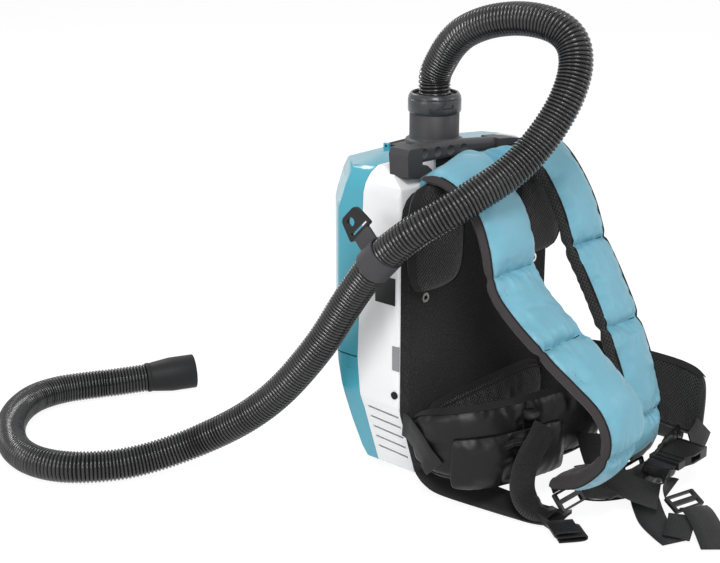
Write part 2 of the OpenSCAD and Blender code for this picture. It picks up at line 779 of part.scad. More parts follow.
// The hose band, and the tail that stands out from it towards the tab.
band_point = hose_route[band_index];
band_way = unit(hose_route[band_index + 1] - hose_route[band_index - 1]);
band_l = 24;
tail_l = 16;
tail_t = 4;
tail_way = [0.05, 0.73, 0.68];
tail_turn =
    let (tilt = acos(band_way[2]), a = atan2(band_way[1], band_way[0]),
         x = [cos(tilt) * cos(a), cos(tilt) * sin(a), -sin(tilt)], y = [-sin(a), cos(a), 0])
    atan2(tail_way * y, tail_way * x);
module hose_band() {
    color("#46484b") translate(band_point) facing(band_way) {
        tube(hose_d / 2 + 2, hose_d / 2 + small, -band_l / 2, band_l / 2);
        rotate([0, 0, tail_turn])
            box([hose_d / 2 + 1, -tail_t / 2, 1 - band_l / 2],
                [hose_d / 2 + tail_l, tail_t / 2, band_l / 2 - 1]);
    }
}
module band_tab() {
    color("#1d1e20") translate(band_point) facing(band_way) rotate([0, 0, tail_turn])
        translate([hose_d / 2 + tail_l, -tail_t / 2, 0]) difference() {
            rotate([-90, 0, 0]) linear_extrude(tail_t)
                polygon(rounded([[0, -17, 2], [24, -12, 6], [24, 12, 6], [0, 17, 2]]));
            translate([15, -1, 3]) rotate([-90, 0, 0]) cylinder(r = 4.5, h = tail_t + 2);
            box([3, -1, -13], [6, tail_t + 1, 11]);
        }
}

// --------------------------------------------------------------- fasteners
module case_screws() {
    color("#2a2a2a") {
        both_sides() translate([0, front_y + 5, 106]) rotate([0, 90, 0]) {
            post(screw_r, hw - 8, hw);
            post(4, hw, hw + 1.2);
        }
        plate_screw_places() {
            post(screw_r, front_depth - wall - 6, front_depth + plate_t - 2.5);
            post(4.4, front_depth + plate_t - 2.5, front_depth + plate_t);
        }
    }
}

module rear_foot() {
    color("#2b2b2b") difference() {
        linear_extrude(ground_gap)
            polygon(rounded([[-24, -10, 5], [24, -10, 5], [24, 36, 5], [-24, 36, 5]]));
        for (y = [8, 16, 24]) box([-25, y, -1], [25, y + 3, 1.5]);
    }
}

module rating_plate() {
    color("#1b1b1b") box([-hw - 0.6, front_y + 5, body_top - 135], [-hw, front_y + 31, body_top - 107]);
}

module side_tabs() {
    color("gray") both_sides()
        box([hw - tab_t, front_y, tab_low + tab_gap],
            [hw, front_y + tab_d - tab_gap, tab_high - tab_gap]);
}

// ------------------------------------------------------------------ inside
module inner_frame() {
    color("#505458") difference() {
        union() {
            for (z = [split_z, chamber_z]) translate([0, 0, z]) linear_extrude(shelf_t)
                polygon([[-frame_half, inner_front + 5], [5 - frame_half, inner_front],
                         [frame_half - 5, inner_front], [frame_half, inner_front + 5],
                         [frame_half, 20],
                         [frame_half - 18, frame_rear], [18 - frame_half, frame_rear],
                         [-frame_half, 20]]);
            box([10 - frame_half, inner_front, split_z],
                [frame_half - 10, inner_front + shelf_t, scoop_low - wall - 4]);
            both_sides() box([60, motor_y + 6, split_z], [63, motor_y + 9, chamber_z + 1]);
        }
        translate([0, motor_y, 0]) post(motor_r - 14, split_z - 1, split_z + shelf_t + 1);
        translate([0, motor_y, 0]) post(motor_r - 12, chamber_z - 1, chamber_z + shelf_t + 1);
        translate([16, motor_y - 41, 0]) post(5, split_z - 1, split_z + shelf_t + 1);
        plate_screw_places() cylinder(r = screw_r + run, h = front_depth + 5);
        both_sides() box([frame_half - 22, -44, split_z - 1], [frame_half - 6, 20, split_z + shelf_t + 1]);
    }
}

module motor_mounts() {
    color("#222222") translate([0, motor_y, 0]) {
        tube(motor_r - 2, motor_r - 10, split_z + shelf_t, motor_z);
        tube(motor_r - 2, motor_r - 10, motor_z + motor_h, chamber_z);
    }
}

module motor_housing() {
    color("#2f3236") translate([0, motor_y, motor_z]) difference() {
        union() {
            tube(motor_r, motor_r - 2.5, 0, motor_h);
            post(motor_r - 1, 0, 3);
            tube(motor_r - 1, motor_r - 16, motor_h - 2.5, motor_h);
            tube(tube_r, stator_r, 2, end_plate_z - motor_z);
            post(bearing_r + 3, 0, bearing_h + 2);
        }
        post(bearing_r, 2, bearing_h + 3);
        post(shaft_r + 1, -1, 3);
        for (a = [0 : 45 : 315]) rotate([0, 0, a])
            translate([motor_r - 6.5, 0, 0]) post(3, -1, 4);
    }
}

module motor_end_plate() {
    color("#3a3d42") translate([0, motor_y, end_plate_z]) difference() {
        union() {
            tube(tube_r, tube_r - 6, 0, 3);
            post(bearing_r + 2.5, 0, bearing_h + 1);
            for (a = [0, 60, 120]) rotate([0, 0, a]) box([-tube_r + 3, -3, 0], [tube_r - 3, 3, 3]);
        }
        post(bearing_r, -1, bearing_h);
        post(shaft_r + 1, 0, bearing_h + 3);
    }
}

module motor_stator() {
    color("#8a5a2c") translate([0, motor_y, motor_z + 5]) difference() {
        post(stator_r - run, 0, stator_h);
        post(17, -1, stator_h + 1);
        for (a = [0 : 60 : 300]) rotate([0, 0, a]) translate([19, 0, 0]) post(2.4, -1, stator_h + 1);
    }
}

module motor_bearings() {
    color("silver") translate([0, motor_y, 0]) {
        tube(bearing_r, shaft_r + run, motor_z + 2, motor_z + 2 + bearing_h);
        tube(bearing_r, shaft_r + run, end_plate_z, end_plate_z + bearing_h);
    }
}

module motor_rotor() {
    color("#9a9da1") translate([0, motor_y, 0]) {
        post(shaft_r, motor_z + 3, fan_z + 14);
        post(16.2, motor_z + 8, motor_z + 4 + stator_h);
    }
}

module fan_impeller() {
    color("#c8cace") translate([0, motor_y, fan_z]) difference() {
        union() {
            post(fan_r, 0, 1.6);
            post(8, 0, 12);
            for (a = [0 : 40 : 320]) rotate([0, 0, a]) intersection() {
                translate([fan_r / 2, fan_r / 3, 0]) tube(fan_r / 2 + 1, fan_r / 2 - 0.6, 0.8, 11);
                box([4, -fan_r, 0], [fan_r, fan_r / 3, 12]);
                tube(fan_r - 1, 6, 0, 12);
            }
        }
        post(shaft_r, -1, 13);
    }
}

pleat_half = 52;
module filter_frame() {
    color("#7fb7c4") difference() {
        box([-62, front_y + 16, filter_z], [62, frame_rear - 8, filter_z + filter_h]);
        box([-pleat_half, front_y + 22, filter_z - 1],
            [pleat_half, frame_rear - 14, filter_z + filter_h + 1]);
    }
}
module filter_pleats() {
    pleats = 13;
    pitch = 2 * pleat_half / pleats;
    top = [for (k = [0 : 2 * pleats])
        [-pleat_half + k * pitch / 2, filter_z + (k % 2 == 0 ? 2.5 : filter_h)]];
    bottom = [for (k = [2 * pleats : -1 : 0])
        [-pleat_half + k * pitch / 2, filter_z + (k % 2 == 0 ? 0.5 : filter_h - 2)]];
    color("whitesmoke") translate([0, frame_rear - 14, 0]) rotate([90, 0, 0])
        linear_extrude(frame_rear - 36 + front_depth) polygon(concat(top, bottom));
}

module battery_cradle() {
    far = rib_half + battery_w + 2 * battery_gap;
    color("#44474b") difference() {
        union() {
            box([-far - cheek_t, cradle_y, floor_in], [far + cheek_t, cradle_y + shelf_t, split_z]);
            box([-rib_half, cradle_y, floor_in], [rib_half, cradle_y + battery_d - 6, battery_z + 60]);
            box([-far, cradle_y, ledge_z], [far, cradle_y + battery_d - 12, ledge_z + shelf_t]);
            both_sides() box([far, cradle_y, floor_in],
                             [far + cheek_t, cradle_y + battery_d - 10, battery_z + 60]);
            both_sides() translate([rib_half + battery_w / 2, cradle_y, terminal_z])
                box([-14, 1, 0], [15, shelf_t + 6, terminal_h]);
        }
        translate([22, cradle_y - 1, 100]) rotate([-90, 0, 0]) cylinder(r = 2.2, h = 3);
    }
}

module battery() {
    x0 = rib_half + battery_gap;
    mid = x0 + battery_w / 2;
    top = battery_z + battery_h;
    color("#26282b") difference() {
        translate([0, battery_y + battery_d, 0]) rotate([90, 0, 0]) linear_extrude(battery_d)
            polygon(rounded([[x0, battery_z, 6], [x0 + battery_w, battery_z, 6],
                             [x0 + battery_w, top, 6], [x0, top, 6]]));
        box([mid - 16, battery_y - 1, terminal_z - 1],
            [mid + 16, battery_y + 6.5, terminal_z + terminal_h + 1]);
        box([mid - 13, battery_y + battery_d - 5, top - 26],
            [mid + 13, battery_y + battery_d + 1, top - 8]);
    }
}
module battery_right() {
    battery();
}
module battery_left() {
    mirror([1, 0, 0]) battery();
}
module battery_button() {
    mid = rib_half + battery_gap + battery_w / 2;
    top = battery_z + battery_h;
    color("#b8322c") {
        box([mid - 12.7, battery_y + battery_d - 4.8, top - 20],
            [mid + 12.7, battery_y + battery_d - 0.8, top - 8.3]);
        box([mid - 8, battery_y + battery_d - 1, top - 17], [mid + 8, battery_y + battery_d + 0.8, top - 14]);
    }
}
module battery_button_right() {
    battery_button();
}
module battery_button_left() {
    mirror([1, 0, 0]) battery_button();
}

board_y = inner_front + 4.5;
module control_board() {
    color("darkgreen") {
        box([-44, board_y, 32], [44, board_y + 1.6, 118]);
        for (x = [-26, -8]) translate([x, board_y + 1.6, 60]) rotate([-90, 0, 0]) cylinder(r = 7, h = 16);
        box([8, board_y + 1.6, 104], [26, board_y + 12, 114]);
        box([-34, board_y + 1.6, 84], [-6, board_y + 5, 104]);
        box([10, board_y + 1.6, 44], [34, board_y + 9, 76]);
    }
}

module exhaust_foams() {
    in_base = base_half - 0.7 * wall;
    slope = (hw - wall - in_base) / (taper_top - floor_in);
    color("#3c3c3c") both_sides() translate([0, -16, 0]) rotate([90, 0, 0])
        linear_extrude(front_depth - 16 - wall - 2)
            polygon([for (p = [[22, -1], [84, -1], [84, -7], [22, -7]])
                [in_base + (p[0] - floor_in) * slope + p[1], p[0]]]);
}

module wiring_loom() {
    color("firebrick") {
        translate([16, motor_y - 41, 0]) post(1.6, 114, motor_z - small);
        translate([22, board_y + 12, 108]) rotate([-90, 0, 0])
            cylinder(r = 1.6, h = cradle_y - board_y - 12);
    }
}

// ----------------------------------------------------------------- harness
plate_top = body_top - 22;
module back_plate() {
    color("#262626") difference() {
        translate([0, front_y, 0]) rotate([90, 0, 0]) linear_extrude(plate_t)
            polygon(rounded([[-74, 0, 8], [74, 0, 8], [plate_half - 25, 14, 10],
                             [plate_half, 86, 24], [plate_half, plate_top, 24],
                             [-plate_half, plate_top, 24], [-plate_half, 86, 24],
                             [-plate_half + 25, 14, 10]]));
        plate_screw_places() {
            cylinder(r = screw_r + run, h = front_depth + 20);
            translate([0, 0, front_depth + plate_t - 2.5]) cylinder(r = 4.5, h = 10);
        }
        both_sides() translate([eyelet_x, 0, eyelet_z]) rotate([90, 0, 0])
            cylinder(r = 3, h = front_depth + 20);
    }
}
module eyelets() {
    color("silver") both_sides() translate([eyelet_x, 0, eyelet_z]) rotate([90, 0, 0]) {
        tube(5, 2.4, front_depth + plate_t, front_depth + plate_t + 1);
        tube(3, 2.4, front_depth + plate_t - 6, front_depth + plate_t);
    }
}

// A pad on the plate's face, swept upward.
module upper_pad(x) {
    low = [x, pad_y, body_top - 118];
    high = [x, pad_y, body_top - 14];
    color("#1e1e1f") padded_band([for (i = [0 : 12]) mix(low, high, i / 12)],
                                 [1, 0, 0], 84, pad_t, [0.62], 0.6);
}
module upper_pad_left() {
    upper_pad(-pad_x);
}
module upper_pad_right() {
    upper_pad(pad_x);
}

module lumbar_pad() {
    color("#1e1e1f") padded_band([for (i = [0 : 16]) [mix(-pads_half, pads_half, i / 16), pad_y, 68]],
                                 [0, 0, 1], 64, pad_t, [0.33, 0.67], 0.75);
}

// Fabric on the plate's top edge, and its full middle between the two straps.
module yoke() {
    color("#7ec8d8") {
        along_x(rounded([[front_y - 2.5, plate_top + small, 1], [front_y - 2.5, plate_top + 12, 3],
                         [plate_y, plate_top + 12, 3], [plate_y, plate_top + small, 1]], 3), pads_half);
        translate([3.8, 0, 0]) along_x(rounded([
            [front_y - 2.5, plate_top + 8, 1], [front_y - 6, plate_top + 24, 4],
            [front_y - 16, plate_top + 29, 8], [front_y - 38, plate_top + 26, 8],
            [front_y - 54, plate_top + 14, 3], [front_y - 46, plate_top + 8, 3],
            [front_y - 34, plate_top + 15, 6], [plate_y - 5, plate_top + 14, 6],
            [plate_y, plate_top + 8, 2]], 3), 25);
    }
}

module shoulder_strap(line, seams) {
    path = curve(line, 2);
    color("#79c4d6") padded_band([for (p = path) [p[0], p[1], p[2]]], [1, 0, 0],
                                 [for (p = path) p[3]], strap_t, seams);
}
module shoulder_strap_left() {
    shoulder_strap(strap_left_line, [0.42, 0.55, 0.82]);
}
module shoulder_strap_right() {
    shoulder_strap(strap_right_line, [0.46, 0.62, 0.84]);
}

function wing_path(line, z) = [for (p = curve(line, 3)) [p[0], p[1], z]];
module belt_wing_left() {
    color("#1b1b1c") padded_band(wing_path(wing_left_line, wing_mid_z), [0, 0, 1],
                                 wing_h, wing_t, [0.5]);
}
module belt_wing_right() {
    color("#1b1b1c") padded_band(wing_path(wing_right_line, wing_mid_z), [0, 0, 1],
                                 wing_h, wing_t, [0.5]);
}

// The path moved sideways by a distance, for what lies on a wing's outer face.
function beside(path, d) = [for (i = [0 : len(path) - 1])
    path[i] + cross(tangent(path, i), [0, 0, 1]) * d];
function part_of(path, a, b) = [for (i = [a : b]) path[i]];
pouch_t = 9;
module belt_pouches() {
    reach = wing_t / 2 + pouch_t / 2 + small;
    left = part_of(wing_path(wing_left_line, wing_mid_z - 18), 8, 18);
    right = part_of(wing_path(wing_right_line, wing_mid_z - 26), 6, 15);
    color("#151517") {
        padded_band(beside(left, reach), [0, 0, 1], wing_h - 20, pouch_t, [0.5], 0.85);
        padded_band(beside(right, -reach), [0, 0, 1], wing_h - 8, pouch_t, [0.5], 0.85);
    }
}

// Webbing from the plate's foot along the floor to the left adjuster, with its tail
// folded into a bundle, and a short end between strap and adjuster.
module strap_webbing_left() {
    color("#202021") {
        webbing(curve([[-84, -73.5, 24], [-84, -80, 10], [-82, -98, 3], [-76, -150, 3],
                       [-73, -180, 3], [-70, -204, 4], [-60, -220, 6], [-52, -229, 13]], 3),
                [1, 0, 0], strap_webbing_w);
        webbing([[-50, -212.9, 43.2], [-50, -212.8, 38], [-50, -215.4, 32.2]], [1, 0, 0],
                strap_webbing_w);
        webbing([[-76, -202, 8.5], [-82, -222, 8.5], [-88, -238, 8.5]], [0, 0, 1], 9);
        webbing(curve([[-90, -237, 3], [-72, -251, 3], [-68, -254, 5.5], [-72, -251, 8],
                       [-90, -237, 8], [-94, -234, 10.5], [-90, -237, 13], [-74, -249.5, 13]], 2),
                [0.6, 0.8, 0], strap_webbing_w - 4);
    }
}
// Tail of the right strap: down to the floor, folded, and back up to the slide.
module strap_webbing_right() {
    tail = curve([[52.4, -237, 8.9], [51.6, -242.5, 6.2], [47, -249, 4.4], [37, -257, 3.3], [20, -271, 3],
                  [-2, -292, 3], [-16, -314, 3], [-23, -328, 3]], 3);
    color("#202021") {
        webbing(tail, turning(tail, [1, 0, 0], [0.7, -0.7, 0]), strap_webbing_w);
        webbing(curve([[-19, -326, 5], [-6, -321, 7], [8, -315, 8.5], [20, -309, 9]], 3),
                [0.5, -0.9, 0], strap_webbing_w - 4);
    }
}
// Belt webbing: the short end at the right wing, the run from the plug to the slide, the
// run from the left wing to the slide, the tail, a loop over the left wing's pouch and
// the stay from the plate along the left wing.
module belt_webbing() {
    from_plug = curve([[51.4, -267, 41], [47, -267, 40.6], [42.5, -267.6, 38], [41, -271, 32],
                       [42, -276, 26], [44.3, -282.6, 20.2]], 3);
    color("#202021") {
        webbing(curve([[107.4, -266, 41], [114, -266.4, 43], [124, -266.3, 49], [131.4, -265.5, 55.4]], 3),
                [0.1, 0.2, 1], webbing_w - 8);
        webbing(from_plug, turning(from_plug, [0, 1, 0], [0.95, -0.3, 0]), webbing_w - 8);
        webbing(curve([[27, -197, 60], [16, -208, 50], [6, -226, 37], [10, -252, 26],
                       [18, -270, 20], [24, -280, 17]], 3), [0.9, -0.3, 0.2], webbing_w - 8);
        webbing(curve([[38.7, -310.6, 11], [31, -321, 12], [14, -340, 9.5], [-10, -364, 3.5]], 3),
                [0.8, -0.6, 0], webbing_w - 8);
        webbing(curve([[-41, -184, 86], [-45.3, -182.8, 66], [-49.2, -181.7, 42],
                       [-51.5, -181, 26]], 3), [0.96, -0.28, 0], webbing_w - 6);
        webbing(curve([[-114.3, -65, 96], [-115.4, -73, 93], [-118.3, -81.7, 88],
                       [-122.8, -97, 76], [-128, -114.7, 62], [-128.2, -136, 44],
                       [-113.1, -154, 26], [-103, -161, 18]], 3), [0, 0, 1], webbing_w - 6);
    }
}

module ladder(w, d, t) {
    difference() {
        linear_extrude(t)
            polygon(rounded([[-w / 2, -d / 2, 2], [w / 2, -d / 2, 2],
                             [w / 2, d / 2, 2], [-w / 2, d / 2, 2]]));
        for (s = [-1, 1]) translate([0, s * d / 4, 0])
            box([-w / 2 + 4, -2.6, -1], [w / 2 - 4, 2.6, t + 1]);
    }
}
module adjusters() {
    color("#18181a") {
        translate([-50, -222, 24]) rotate([50, 0, 0]) ladder(strap_webbing_w + 8, 20, 4);
        translate([56, -229, 19]) rotate([70, 0, 0]) ladder(strap_webbing_w + 8, 20, 4);
        translate([43, -297, 10]) rotate([25, 0, -15]) ladder(webbing_w, 20, 4);
    }
}

// The belt's buckle, fastened: a flat socket with a mouth and side windows, and a plug
// with two sprung arms and a tongue.
buckle_at = [52, -267, 36];
buckle_t = 10;
mouth_half = 12;
module both_edges() {
    children();
    mirror([0, 1, 0]) children();
}
module buckle_socket() {
    color("#18181a") translate(buckle_at + [13, 0, 0]) difference() {
        linear_extrude(buckle_t)
            polygon(rounded([[0, -15, 4], [14, -19, 5], [41, -19, 3], [41, 19, 3],
                             [14, 19, 5], [0, 15, 4]]));
        box([-1, -mouth_half, 2], [33, mouth_half, buckle_t - 2]);
        box([36, -16, -1], [38.5, 16, buckle_t + 1]);
        both_edges() box([10, mouth_half - 1, 2], [26, 22, buckle_t - 2]);
    }
}
module buckle_plug() {
    color("#18181a") translate(buckle_at + [0, 0, 2.5]) {
        difference() {
            box([0, -17, -1.5], [12.5, 17, buckle_t - 3.5]);
            box([3, -15, -2], [6, 15, buckle_t]);
        }
        both_edges() linear_extrude(buckle_t - 5)
            polygon([[12, 6], [26, 7], [30, 10], [38, 10], [39, 8], [34, 4], [12, 3]]);
        box([12, -1.2, 1], [34, 1.2, 4]);
    }
}

main_casing();
lower_cover();
battery_door();
battery_door_latch();
dust_cover();
dust_cover_latch();
hinge_pins();
inlet_deck();
inlet_pipe();
seals();
hose_lock_ring();
hose_sleeve();
hose();
hose_cuff();
hose_band();
band_tab();
handle_grip();
handle_brackets();
case_screws();
rear_foot();
rating_plate();
side_tabs();
inner_frame();
motor_housing();
motor_end_plate();
motor_stator();
motor_rotor();
fan_impeller();
motor_bearings();
motor_mounts();
filter_frame();
filter_pleats();
dust_bag();
bag_collar();
battery_cradle();
battery_left();
battery_right();
battery_button_left();
battery_button_right();
control_board();
exhaust_foams();
wiring_loom();
back_plate();
eyelets();
upper_pad_left();
upper_pad_right();
lumbar_pad();
yoke();
shoulder_strap_left();
shoulder_strap_right();
belt_wing_left();
belt_wing_right();
belt_pouches();
strap_webbing_left();
strap_webbing_right();
adjusters();
belt_webbing();
buckle_socket();
buckle_plug();
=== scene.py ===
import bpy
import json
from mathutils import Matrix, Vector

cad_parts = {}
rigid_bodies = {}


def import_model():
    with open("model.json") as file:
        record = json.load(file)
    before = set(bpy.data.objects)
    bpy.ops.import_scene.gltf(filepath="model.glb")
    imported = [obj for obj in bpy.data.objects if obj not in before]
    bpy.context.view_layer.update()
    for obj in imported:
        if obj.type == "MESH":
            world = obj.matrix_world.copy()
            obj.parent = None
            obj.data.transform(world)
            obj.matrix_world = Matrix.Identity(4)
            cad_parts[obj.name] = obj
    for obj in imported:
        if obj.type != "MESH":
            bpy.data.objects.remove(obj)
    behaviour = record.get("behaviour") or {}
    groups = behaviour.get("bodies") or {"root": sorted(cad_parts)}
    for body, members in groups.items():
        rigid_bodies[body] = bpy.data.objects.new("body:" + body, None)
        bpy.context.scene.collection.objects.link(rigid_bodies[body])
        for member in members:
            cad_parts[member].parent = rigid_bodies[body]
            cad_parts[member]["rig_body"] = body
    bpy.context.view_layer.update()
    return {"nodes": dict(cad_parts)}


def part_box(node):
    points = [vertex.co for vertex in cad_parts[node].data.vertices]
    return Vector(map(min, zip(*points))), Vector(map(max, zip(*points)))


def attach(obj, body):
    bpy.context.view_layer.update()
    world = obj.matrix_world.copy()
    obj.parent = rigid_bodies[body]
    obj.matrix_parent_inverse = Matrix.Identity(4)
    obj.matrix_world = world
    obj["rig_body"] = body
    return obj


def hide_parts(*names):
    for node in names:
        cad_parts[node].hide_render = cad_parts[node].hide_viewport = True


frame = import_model()

import json
import math

import bmesh
import bpy
import numpy as np
from bpy.props import FloatProperty, FloatVectorProperty, IntProperty, PointerProperty
from mathutils import Matrix, Vector

bl_info = {
    "name": "Backpack Vacuum Cleaner",
    "version": (1, 0, 0),
    "blender": (4, 5, 0),
    "location": "View3D > Sidebar > Vacuum",
    "description": "Dresses the frame of a backpack vacuum cleaner with shells, hose and harness",
    "category": "Add Mesh",
}

MM = 0.001
AXIS = Vector((0.0, -7 * MM, 0.0))      # upright axis of the inlet

# Centre line of the hose in millimetres, from the lock ring to the cuff.
HOSE_ROUTE = [
    (0, -7, 372.3), (0, -7, 389), (0, -7, 406), (-2, -16, 422), (-6, -33, 442),
    (-9, -55, 458), (-9, -86, 470), (-6, -121, 475), (-3, -153, 471), (-3, -173, 458),
    (-9, -182, 437), (-22, -183, 411), (-39, -177, 384), (-59, -168, 360), (-81, -158, 342),
    (-104, -146, 328), (-126, -131, 313), (-145, -110, 296), (-153, -90, 279),
    (-156, -70, 260), (-157, -50, 236), (-158, -30, 208), (-163, 2, 158), (-174, 44, 104),
    (-188, 84, 66), (-212, 124, 38), (-246, 152, 23), (-282, 174, 17.5), (-314, 198, 17.5),
    (-332, 226, 17.5), (-337, 260, 17.5), (-327, 298, 17.5), (-302, 338, 17.5),
    (-268, 370, 17.5), (-232, 387, 17.5), (-196, 385, 17.5), (-158, 367, 17.5),
    (-142, 357, 17.8), (-109, 338, 19),
]

# Middle lines of the straps: x, y, z and width in millimetres.
STRAP_LEFT = [
    (-62, -71, 325.3, 78), (-62, -75, 333, 78), (-62, -86, 335, 78), (-62, -101, 331, 78),
    (-62, -121, 318, 78), (-62, -139, 297, 78), (-62, -150, 270, 78), (-62, -158, 236, 78),
    (-62, -180, 211, 78), (-62, -223, 180, 78), (-60, -249, 161, 74), (-56, -272, 140, 68),
    (-53, -281, 117, 62), (-51, -278, 95, 58), (-50, -267, 76, 56), (-50, -245, 56, 54),
    (-50, -214, 44, 52),
]
STRAP_RIGHT = [
    (66, -71, 325.3, 70), (66, -75, 333, 70), (66, -86, 335, 70), (66, -101, 328, 70),
    (66, -119, 309, 70), (65, -138, 281, 70), (64, -154, 245, 70), (63, -175, 212, 70),
    (62, -198, 172, 70), (61, -217, 132, 70), (60, -229, 100, 68), (60, -233, 79, 66),
    (60, -231, 52, 62), (57.6, -224, 31.8, 58),
]
WING_LEFT = [
    (-105, -73.4), (-112, -92), (-116, -114), (-108, -134), (-84, -151), (-46, -164),
    (-4, -174), (26, -180), (56, -186),
]
WING_LEFT_RISE = (-14, -9, -4, -1, 0, 0, 0, 0, 0)       # of the middle line, along the wing
WING_LEFT_HIGH = (48, 60, 70, 76, 78, 78, 78, 76, 66)
WING_RIGHT = [
    (105, -73.4), (115, -92), (127, -118), (138, -150), (143, -190), (141, -230), (132, -264),
]
WING_Z = 76


# ------------------------------------------------------------------ colours
def linear(hex_code):
    """An sRGB hex colour as linear red, green, blue and alpha."""
    parts = [int(hex_code[i:i + 2], 16) / 255 for i in (1, 3, 5)]
    return [c / 12.92 if c <= 0.04045 else ((c + 0.055) / 1.055) ** 2.4 for c in parts] + [1.0]


# ------------------------------------------------------------------ settings
class VacuumCaseSettings(bpy.types.PropertyGroup):
    shell_colour: FloatVectorProperty(
        name="Casing", description="Colour of the front casing", subtype="COLOR",
        size=4, min=0, max=1, default=linear("#f1f2f3"))
    cover_colour: FloatVectorProperty(
        name="Covers", description="Colour of the rear covers", subtype="COLOR",
        size=4, min=0, max=1, default=linear("#45a5ba"))
    edge: FloatProperty(
        name="Edge radius", description="Rounding of the mouldings' edges", subtype="DISTANCE",
        default=0.7 * MM, min=0.1 * MM, max=1.5 * MM)


class VacuumHoseSettings(bpy.types.PropertyGroup):
    colour: FloatVectorProperty(
        name="Hose", description="Colour of the ribbed hose", subtype="COLOR",
        size=4, min=0, max=1, default=linear("#040405"))
    rib_pitch: FloatProperty(
        name="Rib pitch", description="Distance from one rib to the next", subtype="DISTANCE",
        default=3.7 * MM, min=3 * MM, max=8 * MM)
    rib_depth: FloatProperty(
        name="Rib depth", description="How deep the grooves lie under the ribs",
        subtype="DISTANCE", default=2.1 * MM, min=0.5 * MM, max=2.2 * MM)


class VacuumHarnessSettings(bpy.types.PropertyGroup):
    strap_colour: FloatVectorProperty(
        name="Strap cloth", description="Colour of the straps' outer cloth", subtype="COLOR",
        size=4, min=0, max=1, default=linear("#74aec1"))
    pressure: FloatProperty(
        name="Padding pressure", description="How hard the padding pushes the cloth out",
        default=4.0, min=0, max=12)
    growth: FloatProperty(
        name="Cloth allowance", description="Share of cloth that is gathered into the seams",
        default=0.05, min=0, max=0.15)
    frames: IntProperty(
        name="Settling frames", description="Frames that the cloth is given to settle",
        default=20, min=5, max=40)


class VacuumStageSettings(bpy.types.PropertyGroup):
    lens: FloatProperty(
        name="Lens", description="Focal length of the camera", subtype="DISTANCE_CAMERA",
        default=75.6, min=20, max=200)
    floor_colour: FloatVectorProperty(
        name="Floor", description="Colour of the floor", subtype="COLOR",
        size=4, min=0, max=1, default=linear("#f4f4f4"))
    key_power: FloatProperty(
        name="Key light", description="Power of the large soft lamp", subtype="POWER",
        default=42.0, min=0, max=500)


# ------------------------------------------------------------------ meshes
def vec(point):
    """A point in millimetres as a vector in metres."""
    return Vector(point[:3]) * MM


def smooth_line(points, steps=12):
    """Rows in metres along a smooth curve through the points, which are in millimetres."""
    rows = np.array(points, float) * MM
    ends = np.vstack([rows[:1], rows, rows[-1:]])
    out = []
    for i in range(len(rows) - 1):
        a, b, c, d = ends[i:i + 4]
        for k in range(steps):
            t = k / steps
            out.append(0.5 * (2 * b + (c - a) * t + (2 * a - 5 * b + 4 * c - d) * t * t
                              + (3 * b - a - 3 * c + d) * t ** 3))
    out.append(rows[-1])
    return np.array(out)


def distances(rows):
    """Distance along the rows' polyline at each row."""
    steps = np.linalg.norm(np.diff(rows[:, :3], axis=0), axis=1)
    return np.concatenate([[0], np.cumsum(steps)])


def spaced(rows, marks):
    """Rows at the given shares of the line's length."""
    run = distances(rows)
    return np.stack([np.interp(np.asarray(marks) * run[-1], run, rows[:, k])
                     for k in range(rows.shape[1])], axis=1)


def travel(rows):
    """Unit direction of travel at each row."""
    way = np.gradient(rows[:, :3], axis=0)
    return way / np.linalg.norm(way, axis=1)[:, None]


def frames_along(rows, across):
    """Unit width direction and outward direction at each row."""
    way = travel(rows)
    side = np.broadcast_to(np.asarray(across, float), way.shape)
    side = side - way * np.sum(side * way, axis=1)[:, None]
    side = side / np.linalg.norm(side, axis=1)[:, None]
    return side, np.cross(way, side)


def carried_frames(rows):
    """Width and outward directions carried along the line without twist."""
    way = travel(rows)
    side = np.zeros_like(way)
    last = np.array([1.0, 0.0, 0.0])
    for i, w in enumerate(way):
        last = last - w * np.dot(last, w)
        last = last / np.linalg.norm(last)
        side[i] = last
    return side, np.cross(way, side)


def strip(rings, first, last, lengths, paint, pins, ends):
    """The skin between two of the rings, with its UV map in metres and its weights."""
    bm = bmesh.new()
    around = bm.verts.layers.int.new("around")
    station = bm.verts.layers.int.new("station")
    uv = bm.loops.layers.uv.new("UVMap")
    start = [bm.verts.new(p) for p in rings[first]]
    for j, v in enumerate(start):
        v[around] = j
        v[station] = first
    cap = bm.faces.new(start)
    edges = list(cap.edges)
    if not (ends and first == 0):
        bmesh.ops.delete(bm, geom=[cap], context="FACES_ONLY")
    for i in range(first + 1, last + 1):
        made = bmesh.ops.extrude_edge_only(bm, edges=edges)["geom"]
        fresh = {g for g in made if isinstance(g, bmesh.types.BMVert)}
        for v in fresh:
            v.co = rings[i][v[around]]
            v[station] = i
        edges = [g for g in made if isinstance(g, bmesh.types.BMEdge)
                 and g.verts[0] in fresh and g.verts[1] in fresh]
    if ends and last == len(rings) - 1:
        bmesh.ops.contextual_create(bm, geom=edges)
    u_at, v_at = lengths
    count = len(rings[0])
    for f in bm.faces:
        marks = [l.vert[around] for l in f.loops]
        wraps = max(marks) - min(marks) > count / 2 and len(marks) == 4
        for l in f.loops:
            j = l.vert[around]
            l[uv].uv = (u_at[count if wraps and j == 0 else j], v_at[l.vert[station]])
        if paint is not None and len(marks) == 4:
            f.material_index = paint(count - 1 if wraps else min(marks))
    if pins is not None:
        weights = bm.verts.layers.deform.verify()
        for v in bm.verts:
            v[weights][0] = pins[v[station]][v[around]]
    bm.verts.layers.int.remove(bm.verts.layers.int["around"])
    bm.verts.layers.int.remove(bm.verts.layers.int["station"])
    return bm


def joined(strips):
    """One bmesh of several."""
    whole = bmesh.new()
    for bm in strips:
        held = bpy.data.meshes.new("strip")
        bm.to_mesh(held)
        bm.free()
        whole.from_mesh(held)
        bpy.data.meshes.remove(held)
    return whole


